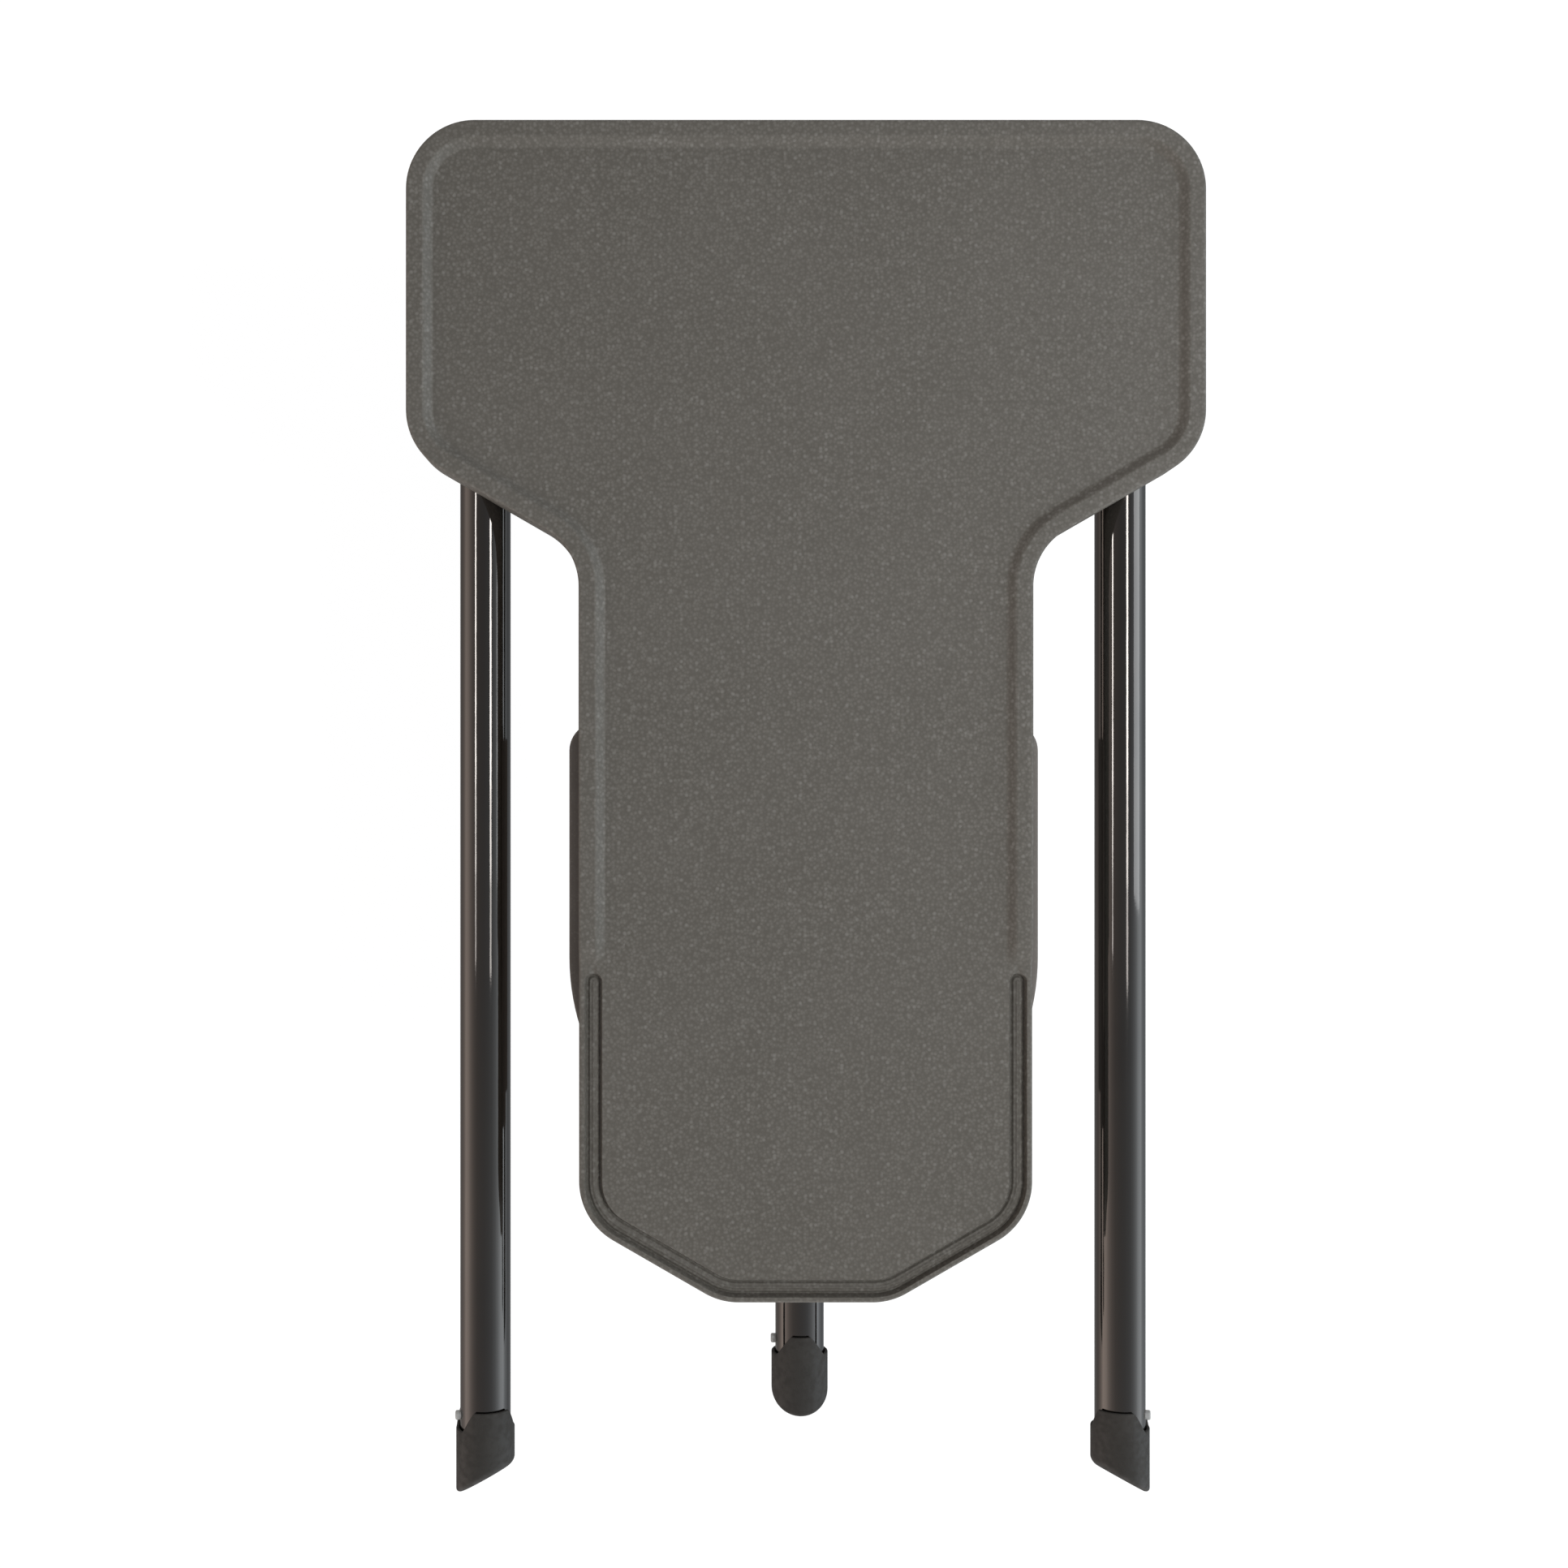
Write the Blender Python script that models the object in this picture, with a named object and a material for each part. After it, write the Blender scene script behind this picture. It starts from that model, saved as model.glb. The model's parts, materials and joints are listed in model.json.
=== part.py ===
"""Fold-flat shower stool, lying folded with its T-shaped seat facing up.

A moulded seat carries two side legs and one front leg, each a tube on a hinge bracket under
the seat's head. Folded, all three legs lie along the seat. Open, they stand as a tripod.
The object rests on the front leg's foot and on the runners of the leg cradle, at Z = 0.
"""

import math

import bmesh
import bpy
from mathutils import Matrix, Vector

GAP = 0.0003  # air between pieces that touch

# Seat outline. Y positions further down are measured forward from the rear edge.
SEAT_TOP = 0.0785
SEAT_REAR = 0.3368
SEAT_LENGTH = 0.5713
HEAD_HALF_WIDTH = 0.193
HEAD_SIDE = 0.1587
STEM_HALF_WIDTH = 0.1097
NOSE_HALF_WIDTH = 0.0413
SLOPE = math.radians(30)
OUTER_CORNER = 0.0332
INNER_CORNER = 0.0313

# Seat section
SKIRT_DEPTH = 0.017
SKIRT_WALL = 0.003
LIP_HEIGHT = 0.0033
PLATE = 0.005
GROOVE_DEPTH = 0.0027
LIP_FADE = (0.398, 0.407)
GROOVE_START = (0.4105, 0.4135)
RIB = 0.0026

# Hinge brackets
PAD_DEPTH = 0.012
BASE_HALF_WIDTH = 0.027
BASE_HALF_LENGTH = 0.024
BASE_FORWARD = 0.002
BASE_THICKNESS = 0.003
CHEEK_INNER = 0.0095
CHEEK_OUTER = 0.013
BACK_WALL = (0.0165, 0.020)
BRACKET_ROUND = 0.0115
STOP_DROP = 0.0065  # how far the back wall, which stops the open leg, hangs below the hinge
SCREW_HOLE = 0.0021
SCREW_X = 0.021
SCREW_Y = 0.0165

# Legs
TUBE_RADIUS = 0.0125
TUBE_BORE = 0.011
TUBE_START = 0.025
EYE_RADIUS = 0.0123
EYE_HALF_WIDTH = 0.0092
BLOCK_HALF_HEIGHT = 0.012
PIN_RADIUS = 0.0035
PIN_BORE = 0.0038
RIVET_AT = 0.033
RIVET_BORE = 0.0022
POCKET_RADIUS = 0.0039
POCKET_FLOOR = 0.0092

SIDE_HINGE = (0.1583, 0.1339, 0.0465)  # |X|, distance from the rear edge, Z
SIDE_LENGTH = 0.5327
SPLAY_OUT = 0.336  # sideways part of an open side leg's unit direction
SPLAY_BACK = 0.391  # rearward part of it
FRONT_SOLE = 0.6346  # the folded front leg's sole, from the rear edge
FRONT_HEIGHT = 0.0145
FRONT_LEAN = math.radians(33)  # of the open front leg, from upright

# Feet. Azimuths run from straight up towards the leg's outer side.
FOOT_RADIUS = 0.0145
FOOT_BORE = 0.0128
FOOT_FILLET = 0.0035
LOBE_HEIGHT = 0.0103
PIN_BELOW_LOBE = 0.0042
FOOT_PIN_RADIUS = 0.00235
SIDE_FOOT = {"top": 0.0366, "lobe": -21, "flat": 38, "foot": 67, "pin": 78}
FRONT_FOOT = {"top": 0.0325, "lobe": 0, "flat": 20, "foot": 58, "pin": 90}

# Lock buttons, along the bracket's rearward axis
TIP = (0.0127, 0.0162)
KNOB = (0.027, 0.032)
BUTTON_BORE = 0.0027
SPRING_RADIUS = 0.0036
SPRING_WIRE = 0.0005
SPRING_TURNS = 4

# Leg cradle, a D-shaped plate with four runners
CRADLE_TOP = 0.022  # below the seat's top
CRADLE_PLATE = 0.006
CRADLE_HALF_WIDTH = 0.1158
CRADLE_REAR = 0.2898
CRADLE_STRAIGHT = 0.116
CRADLE_CORNER = 0.014
RUNNER = 0.006
RUNNER_X = (0.0165, 0.075)
RUNNER_Y = ((0.296, 0.515), (0.296, 0.486))
BOSS_RADIUS = 0.005
CRADLE_SCREWS = ((0.045, 0.315), (0.045, 0.45))

PLASTIC = ("seat_plastic", (0.122, 0.113, 0.102), 0.55, 0.0)
DARK_PLASTIC = ("dark_plastic", (0.075, 0.068, 0.06), 0.6, 0.0)
DARK_STEEL = ("dark_steel", (0.06, 0.058, 0.055), 0.45, 0.6)
CHROME = ("dark_chrome", (0.3, 0.29, 0.28), 0.12, 1.0)
STEEL = ("steel", (0.42, 0.42, 0.42), 0.35, 1.0)
RUBBER = ("black_rubber", (0.04, 0.035, 0.03), 0.7, 0.0)
PALE = ("pale_plastic", (0.45, 0.45, 0.44), 0.45, 0.0)
KNUCKLE_GREY = ("knuckle_plastic", (0.05, 0.047, 0.043), 0.5, 0.0)

ALONG_LEG = Matrix.Rotation(math.radians(90), 4, "X")  # turns +Z onto a folded leg's -Y
ALONG_AXIS = Matrix.Rotation(math.radians(90), 4, "Y")  # turns +Z onto the hinge axis, +X
REARWARD = Matrix.Rotation(math.radians(-90), 4, "X")  # turns +Z onto +Y
SIDEWAYS = Matrix(((0, 0, 1), (1, 0, 0), (0, 1, 0))).to_4x4()  # XY onto YZ, and Z onto X


def clear_scene():
    for item in list(bpy.data.objects):
        bpy.data.objects.remove(item, do_unlink=True)


def material(finish):
    name, colour, roughness, metallic = finish
    found = bpy.data.materials.get(name)
    if found:
        return found
    made = bpy.data.materials.new(name)
    made.use_nodes = True
    shader = made.node_tree.nodes["Principled BSDF"]
    shader.inputs["Base Color"].default_value = (*colour, 1.0)
    shader.inputs["Roughness"].default_value = roughness
    shader.inputs["Metallic"].default_value = metallic
    return made


def from_rear(distance):
    """Y of a place this far in front of the seat's rear edge."""
    return SEAT_REAR - distance


def ring(radius, height, segments):
    """Points of a circle about Z, anticlockwise from +X."""
    turns = [2 * math.pi * step / segments for step in range(segments)]
    return [Vector((radius * math.cos(a), radius * math.sin(a), height)) for a in turns]


def loft(shape, rings, matrix=Matrix(), closed=False):
    """Join rings of points into a solid, with flat caps, or back to the first ring."""
    rows = [[shape.verts.new(matrix @ point) for point in points] for points in rings]
    pairs = list(zip(rows, rows[1:]))
    if closed:
        pairs.append((rows[-1], rows[0]))
    for lower, upper in pairs:
        for index in range(len(lower)):
            after = (index + 1) % len(lower)
            shape.faces.new((lower[index], lower[after], upper[after], upper[index]))
    if not closed:
        shape.faces.new(reversed(rows[0]))
        shape.faces.new(rows[-1])


def turned(shape, profile, matrix=Matrix(), segments=24, closed=False):
    """A solid turned about Z, from (radius, height) pairs that run up its outside."""
    loft(shape, [ring(radius, height, segments) for radius, height in profile], matrix, closed)


def rod(shape, radius, start, end, matrix=Matrix(), segments=16):
    turned(shape, [(radius, start), (radius, end)], matrix, segments)


def prism(shape, outline, start, end, matrix=Matrix()):
    """An anticlockwise XY outline, extruded along Z."""
    loft(shape, [[Vector((x, y, z)) for x, y in outline] for z in (start, end)], matrix)


def box(shape, low, high, matrix=Matrix()):
    outline = [(low[0], low[1]), (high[0], low[1]), (high[0], high[1]), (low[0], high[1])]
    prism(shape, outline, low[2], high[2], matrix)


def add_object(name, shape, finish=None, parent=None):
    mesh = bpy.data.meshes.new(name)
    shape.to_mesh(mesh)
    shape.free()
    item = bpy.data.objects.new(name, mesh)
    item.parent = parent
    bpy.context.scene.collection.objects.link(item)
    if finish:
        mesh.materials.append(material(finish))
        mesh.shade_smooth()
        mesh.set_sharp_from_angle(angle=math.radians(32))
    return item


def combine(item, operation, shape):
    """Add a Boolean to item, whose operand is this shape, kept as a hidden guide."""
    name = f"{item.name}_{operation.lower()}_{len(item.modifiers)}"
    guide = add_object(name, shape, parent=item.parent)
    guide.hide_render = True
    guide.display_type = "WIRE"
    boolean = item.modifiers.new(name, "BOOLEAN")
    boolean.operation = operation
    boolean.solver = "EXACT"
    boolean.object = guide


# Seat


def seat_corners():
    """(x, y, radius) of the T's corners, anticlockwise from the nose."""
    head_front = from_rear(HEAD_SIDE)
    stem_rear = head_front - (HEAD_HALF_WIDTH - STEM_HALF_WIDTH) * math.tan(SLOPE)
    nose_tip = from_rear(SEAT_LENGTH)
    nose_rear = nose_tip + (STEM_HALF_WIDTH - NOSE_HALF_WIDTH) * math.tan(SLOPE)
    right = [
        (NOSE_HALF_WIDTH, nose_tip, OUTER_CORNER),
        (STEM_HALF_WIDTH, nose_rear, OUTER_CORNER),
        (STEM_HALF_WIDTH, stem_rear, INNER_CORNER),
        (HEAD_HALF_WIDTH, head_front, OUTER_CORNER),
        (HEAD_HALF_WIDTH, SEAT_REAR, OUTER_CORNER),
    ]
    return right + [(-x, y, radius) for x, y, radius in reversed(right)]


def rounded(corners, steps):
    """[(point, outward normal), ...] round an anticlockwise outline with its corners as arcs."""
    outline = []
    for index, (x, y, radius) in enumerate(corners):
        corner = Vector((x, y))
        arriving = (corner - Vector(corners[index - 1][:2])).normalized()
        leaving = (Vector(corners[(index + 1) % len(corners)][:2]) - corner).normalized()
        turn = math.atan2(arriving.cross(leaving), arriving.dot(leaving))
        side = math.copysign(1, turn)
        first = corner - arriving * radius * math.tan(abs(turn) / 2)
        normal = Vector((arriving.y, -arriving.x))
        centre = first - normal * radius * side
        for step in range(steps + 1):
            spoke = Matrix.Rotation(turn * step / steps, 2) @ normal
            outline.append((centre + spoke * radius * side, spoke))
    return outline


def with_stops(outline, stops):
    """Add a point wherever one of the outline's fore-and-aft edges passes one of these Ys."""
    result = []
    for index, (point, normal) in enumerate(outline):
        result.append((point, normal))
        after = outline[(index + 1) % len(outline)][0]
        if abs(after.x - point.x) > 1e-6:
            continue
        low, high = sorted((point.y, after.y))
        inside = sorted((y for y in stops if low < y < high), reverse=after.y < point.y)
        result += [(Vector((point.x, y)), normal) for y in inside]
    return result


def share(y, span):
    """0 behind this span of distances from the rear edge, 1 in front of it."""
    return min(max((from_rear(span[0]) - y) / (span[1] - span[0]), 0), 1)


def seat_section(y):
    """(inset, depth below the seat's top) pairs, up the outside and in to the tray's floor."""
    flat = share(y, LIP_FADE) * LIP_HEIGHT
    groove = share(y, GROOVE_START) * GROOVE_DEPTH
    slope = 1 - share(y, LIP_FADE)
    return [
        (0.0, SKIRT_DEPTH),
        (0.0, flat + 0.0014),
        (0.0004, flat + 0.0004),
        (0.0014, flat),
        (0.0029, flat),
        (0.0057, flat + groove),
        (0.0087, flat + groove + slope * 0.0008),
        (0.0115, flat + slope * 0.0027),
        (0.0135, flat + slope * LIP_HEIGHT),
    ]


def seat_rings():
    stops = [from_rear(place) for place in LIP_FADE + GROOVE_START]
    outline = with_stops(rounded(seat_corners(), 6), stops)
    plate_bottom = LIP_HEIGHT + PLATE
    underside = [(SKIRT_WALL, plate_bottom), (SKIRT_WALL, SKIRT_DEPTH)]
    rings = []
    for row in range(len(underside) + len(seat_section(0))):
        points = []
        for point, normal in outline:
            inset, depth = (underside + seat_section(point.y))[row]
            place = point - normal * inset
            points.append(Vector((place.x, place.y, SEAT_TOP - depth)))
        rings.append(points)
    return rings


def seat_ribs(fore_and_aft):
    """Half the grid of ribs under the seat, each from the plate down to the skirt's edge."""
    shape = bmesh.new()
    low = SEAT_TOP - SKIRT_DEPTH
    high = SEAT_TOP - LIP_HEIGHT - PLATE / 2
    wall = SKIRT_WALL / 2
    nose = from_rear(SEAT_LENGTH) + wall
    half = RIB / 2
    if fore_and_aft:
        stretches = [(0, nose, from_rear(0.09)), (0.055, nose + 0.006, from_rear(wall))]
        stretches += [(0.088, nose + 0.028, from_rear(wall))]
        for x, start, end in stretches:
            for side in {x, -x}:
                box(shape, (side - half, start, low), (side + half, end, high))
    else:
        for place, reach in ((0.475, STEM_HALF_WIDTH), (0.36, STEM_HALF_WIDTH), (0.24, STEM_HALF_WIDTH)):
            y = from_rear(place)
            box(shape, (wall - reach, y - half, low), (reach - wall, y + half, high))
        y = from_rear(0.095)
        box(shape, (wall - HEAD_HALF_WIDTH, y - half, low), (HEAD_HALF_WIDTH - wall, y + half, high))
    return shape


def seat_pads():
    """Flat pads for the brackets and round bosses for the cradle, under the plate."""
    shape = bmesh.new()
    high = SEAT_TOP - LIP_HEIGHT - PLATE / 2
    for leg in LEGS:
        x, y = leg.base_centre()
        reach = (BASE_HALF_WIDTH + 0.003, BASE_HALF_LENGTH + 0.003)
        low_corner = (x - reach[0], y - reach[1], SEAT_TOP - PAD_DEPTH)
        box(shape, low_corner, (x + reach[0], y + reach[1], high))
    for x, y in cradle_screw_places():
        place = Matrix.Translation((x, y, 0))
        rod(shape, BOSS_RADIUS, SEAT_TOP - CRADLE_TOP + GAP, high, place)
    return shape


def seat_pockets():
    """What is cut away under the seat: a clear bay round each bracket."""
    shape = bmesh.new()
    for leg in LEGS:
        x, y = leg.base_centre()
        reach = (BASE_HALF_WIDTH + 0.0029, BASE_HALF_LENGTH + 0.0029)
        low_corner = (x - reach[0], y - reach[1], SEAT_TOP - SKIRT_DEPTH - 0.001)
        box(shape, low_corner, (x + reach[0], y + reach[1], SEAT_TOP - PAD_DEPTH))
    return shape


def seat_screw_holes():
    shape = bmesh.new()
    for x, y in bracket_screw_places():
        place = Matrix.Translation((x, y, 0))
        rod(shape, SCREW_HOLE, SEAT_TOP - PAD_DEPTH - 0.001, SEAT_TOP - 0.0055, place, 12)
    for x, y in cradle_screw_places():
        place = Matrix.Translation((x, y, 0))
        rod(shape, SCREW_HOLE, SEAT_TOP - CRADLE_TOP - 0.001, SEAT_TOP - 0.009, place, 12)
    return shape


def build_seat():
    shape = bmesh.new()
    loft(shape, seat_rings())
    seat = add_object("seat_shell", shape, PLASTIC)
    combine(seat, "UNION", seat_ribs(True))
    combine(seat, "UNION", seat_ribs(False))
    combine(seat, "DIFFERENCE", seat_pockets())
    combine(seat, "UNION", seat_pads())
    combine(seat, "DIFFERENCE", seat_screw_holes())


# Leg cradle


def cradle_screw_places():
    return [(side * x, from_rear(y)) for x, y in CRADLE_SCREWS for side in (-1, 1)]


def cradle_outline():
    """A D: straight at the rear with small corners, a half circle at the front."""
    rear = from_rear(CRADLE_REAR)
    straight = rear - CRADLE_STRAIGHT
    outline = []
    for step in range(25):
        angle = math.pi + math.pi * step / 24
        x = CRADLE_HALF_WIDTH * math.cos(angle)
        outline.append((x, straight + CRADLE_HALF_WIDTH * math.sin(angle)))
    for side in (0, 1):
        centre_x = (CRADLE_HALF_WIDTH - CRADLE_CORNER) * (1 - 2 * side)
        for step in range(7):
            angle = math.pi / 2 * (side + step / 6)
            x = centre_x + CRADLE_CORNER * math.cos(angle)
            outline.append((x, rear - CRADLE_CORNER + CRADLE_CORNER * math.sin(angle)))
    return outline


def build_cradle():
    top = SEAT_TOP - CRADLE_TOP
    shape = bmesh.new()
    prism(shape, cradle_outline(), top - CRADLE_PLATE, top)
    cradle = add_object("leg_cradle", shape, DARK_PLASTIC)
    runners = bmesh.new()
    for x, (start, end) in zip(RUNNER_X, RUNNER_Y):
        for side in (-1, 1):
            centre = side * x
            low = (centre - RUNNER / 2, from_rear(end), 0)
            high = (centre + RUNNER / 2, from_rear(start), top - CRADLE_PLATE / 2)
            box(runners, low, high)
    combine(cradle, "UNION", runners)
    holes = bmesh.new()
    for x, y in cradle_screw_places():
        rod(holes, SCREW_HOLE, top - 0.02, top + 0.01, Matrix.Translation((x, y, 0)), 12)
    combine(cradle, "DIFFERENCE", holes)
    for index, (x, y) in enumerate(cradle_screw_places()):
        build_screw(f"cradle_screw_{index + 1}", (x, y, top - CRADLE_PLATE - GAP), 0.0165)


def build_screw(name, place, length):
    """A pan-head screw, seen from below, with its head under this place and its shank above."""
    shape = bmesh.new()
    head = [(0.0022, -0.0024), (0.0034, -0.0016), (0.0036, 0)]
    turned(shape, head + [(0.0018, 0), (0.0018, length - 0.001), (0.001, length)], segments=12)
    screw = add_object(name, shape, STEEL)
    screw.location = place


# Legs


class Leg:
    """Where one leg's hinge is, how far it turns and how its foot is cut."""

    def __init__(self, name, outer, hinge, tilt, length, opening, foot):
        self.name = name
        self.outer = outer
        self.hinge = Vector(hinge)
        self.tilt = tilt
        self.length = length
        self.opening = opening
        self.foot = foot
        self.turn = Matrix.Rotation(tilt, 3, "Y")

    def base_centre(self):
        rise = SEAT_TOP - PAD_DEPTH - BASE_THICKNESS / 2 - self.hinge.z
        return self.hinge.x + rise * math.tan(self.tilt), self.hinge.y + BASE_FORWARD

    def azimuth(self, degrees):
        """Angle about the leg's own axis, from its hinge axis, of a direction given from straight up."""
        angle = math.radians(degrees)
        spoke = self.turn.inverted() @ Vector((self.outer * math.sin(angle), 0, math.cos(angle)))
        return math.atan2(spoke.z, spoke.x)

    def sole_slope(self):
        """How the sole's distance along the leg grows across the tube, per metre of X and of Y."""
        open_normal = self.turn.inverted() @ Vector((0, 0, -1))
        normal = Matrix.Rotation(-self.opening, 3, "X") @ open_normal
        return Vector((normal.x, normal.z)) / normal.y

    def tube_end(self):
        return self.length - FOOT_RADIUS * self.sole_slope().length - FOOT_FILLET

    def frame(self, role):
        """An empty on the hinge, with +X along the hinge axis and -Y along the folded leg."""
        empty = bpy.data.objects.new(f"{self.name}_{role}", None)
        empty.location = self.hinge
        empty.rotation_euler = (0, self.tilt, 0)
        bpy.context.scene.collection.objects.link(empty)
        return empty


def side_drop():
    return SIDE_LENGTH * math.sqrt(1 - SPLAY_OUT**2 - SPLAY_BACK**2)


def side_leg(name, outer):
    x, distance, z = SIDE_HINGE
    hinge = (outer * x, from_rear(distance), z)
    tilt = -outer * math.atan2(SPLAY_OUT * SIDE_LENGTH, side_drop())
    opening = math.pi / 2 + math.asin(SPLAY_BACK)
    return Leg(name, outer, hinge, tilt, SIDE_LENGTH, opening, SIDE_FOOT)


def front_leg():
    """The front leg is as long as it takes for its sole to stand level with the side legs' soles."""
    floor = SIDE_HINGE[2] - side_drop()
    length = (FRONT_HEIGHT - floor) / math.cos(FRONT_LEAN)
    hinge = (0, from_rear(FRONT_SOLE) + length, FRONT_HEIGHT)
    return Leg("front", -1, hinge, 0, length, math.pi / 2 - FRONT_LEAN, FRONT_FOOT)


LEGS = (side_leg("left", -1), side_leg("right", 1), front_leg())


def bracket_screw_places():
    places = []
    for leg in LEGS:
        x, y = leg.base_centre()
        places += [(x + i * SCREW_X, y + j * SCREW_Y) for i in (-1, 1) for j in (-1, 1)]
    return places


def bracket_channel(height):
    """Two cheeks and the wall between them, extruded along the bracket's upright axis."""
    shape = bmesh.new()
    front = -0.017
    inner_back, outer_back = BACK_WALL
    outline = [(CHEEK_OUTER, front), (CHEEK_OUTER, outer_back), (-CHEEK_OUTER, outer_back)]
    outline += [(-CHEEK_OUTER, front), (-CHEEK_INNER, front), (-CHEEK_INNER, inner_back)]
    outline += [(CHEEK_INNER, inner_back), (CHEEK_INNER, front)]
    prism(shape, outline, -2 * BRACKET_ROUND, height)
    return shape


def bracket_side_view(height):
    """The bracket's outline from the side, rounded below the hinge, as a wide prism."""
    shape = bmesh.new()
    outline = [(0.025, -STOP_DROP), (0.025, 2 * height), (-0.016, 2 * height)]
    for step in range(11):
        angle = math.pi + math.radians(120) * step / 10
        outline.append((BRACKET_ROUND * math.cos(angle), BRACKET_ROUND * math.sin(angle)))
    outline.append((0.0115, -STOP_DROP))
    prism(shape, outline, -2 * CHEEK_OUTER, 2 * CHEEK_OUTER, SIDEWAYS)
    return shape


def build_bracket(leg, frame):
    """The bracket stands square to the tilted hinge axis, and its base lies level."""
    level = Matrix.Rotation(-leg.tilt, 4, "Y")
    centre_x, centre_y = leg.base_centre()
    middle = Vector((centre_x - leg.hinge.x, centre_y - leg.hinge.y, 0))
    top = SEAT_TOP - PAD_DEPTH - GAP - leg.hinge.z
    bottom = top - BASE_THICKNESS
    reach = Vector((BASE_HALF_WIDTH, BASE_HALF_LENGTH, 0))
    up = Vector((0, 0, 1))
    bracket = add_object(f"{leg.name}_bracket", bracket_channel(top + 0.02), DARK_STEEL, frame)
    combine(bracket, "INTERSECT", bracket_side_view(top + 0.02))
    above = bmesh.new()
    box(above, middle - 3 * reach + up * (top + bottom) / 2, middle + 3 * reach + up * 0.2, level)
    combine(bracket, "DIFFERENCE", above)
    base = bmesh.new()
    box(base, middle - reach + up * bottom, middle + reach + up * top, level)
    combine(bracket, "UNION", base)
    bores = bmesh.new()
    rod(bores, PIN_BORE, -0.02, 0.02, ALONG_AXIS)
    rod(bores, BUTTON_BORE, BACK_WALL[0] - 0.002, BACK_WALL[1] + 0.002, REARWARD)
    for i in (-1, 1):
        for j in (-1, 1):
            hole = level @ Matrix.Translation(middle + Vector((i * SCREW_X, j * SCREW_Y, 0)))
            rod(bores, SCREW_HOLE, bottom - 0.001, top + 0.001, hole, 12)
    combine(bracket, "DIFFERENCE", bores)


def build_pin_and_clip(leg, frame):
    """The hinge pin, its head on the outer side, and the open ring that holds it."""
    facing = ALONG_AXIS if leg.outer < 0 else ALONG_AXIS.inverted()
    face = CHEEK_OUTER + GAP
    groove = face + 0.0016
    shape = bmesh.new()
    profile = [(0.0052, -face - 0.0024), (0.006, -face - 0.0016), (0.006, -face)]
    profile += [(PIN_RADIUS, -face), (PIN_RADIUS, face), (0.0026, face), (0.0026, groove)]
    profile += [(PIN_RADIUS, groove), (PIN_RADIUS, groove + 0.0014)]
    turned(shape, profile, facing, 20)
    add_object(f"{leg.name}_hinge_pin", shape, STEEL, frame)
    clip = bmesh.new()
    start, end = face + GAP, face + GAP + 0.001
    corners = ((0.0029, end), (0.0058, end), (0.0058, start), (0.0029, start))
    sections = []
    for step in range(15):
        angle = math.radians(40 + 20 * step)
        spoke = Vector((math.cos(angle), math.sin(angle), 0))
        sections.append([spoke * radius + Vector((0, 0, z)) for radius, z in corners])
    loft(clip, sections, facing)
    add_object(f"{leg.name}_pin_clip", clip, STEEL, frame)


def build_lock(leg, frame, button_frame):
    """The sprung button in the back wall, whose tip drops into the knuckle's pockets."""
    shape = bmesh.new()
    profile = [(0.0028, TIP[0]), (0.0036, TIP[0] + 0.0008), (0.0036, TIP[1]), (0.0024, TIP[1])]
    profile += [(0.0024, KNOB[0]), (0.006, KNOB[0]), (0.006, KNOB[1] - 0.0012), (0.0048, KNOB[1])]
    turned(shape, profile, REARWARD, 20)
    add_object(f"{leg.name}_lock_button", shape, PALE, button_frame)
    spring = bmesh.new()
    first = BACK_WALL[1] + GAP + SPRING_WIRE
    last = KNOB[0] - GAP - SPRING_WIRE
    total = SPRING_TURNS * 10
    sections = []
    for step in range(total + 1):
        angle = 2 * math.pi * step / 10
        spoke = Vector((math.cos(angle), math.sin(angle), 0))
        centre = spoke * SPRING_RADIUS + Vector((0, 0, first + (last - first) * step / total))
        section = []
        for corner in range(4):
            around = math.pi / 2 * corner + math.pi / 4
            offset = spoke * math.cos(around) - Vector((0, 0, math.sin(around)))
            section.append(centre + offset * SPRING_WIRE)
        sections.append(section)
    loft(spring, sections, REARWARD)
    add_object(f"{leg.name}_lock_spring", spring, STEEL, frame)


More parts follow.
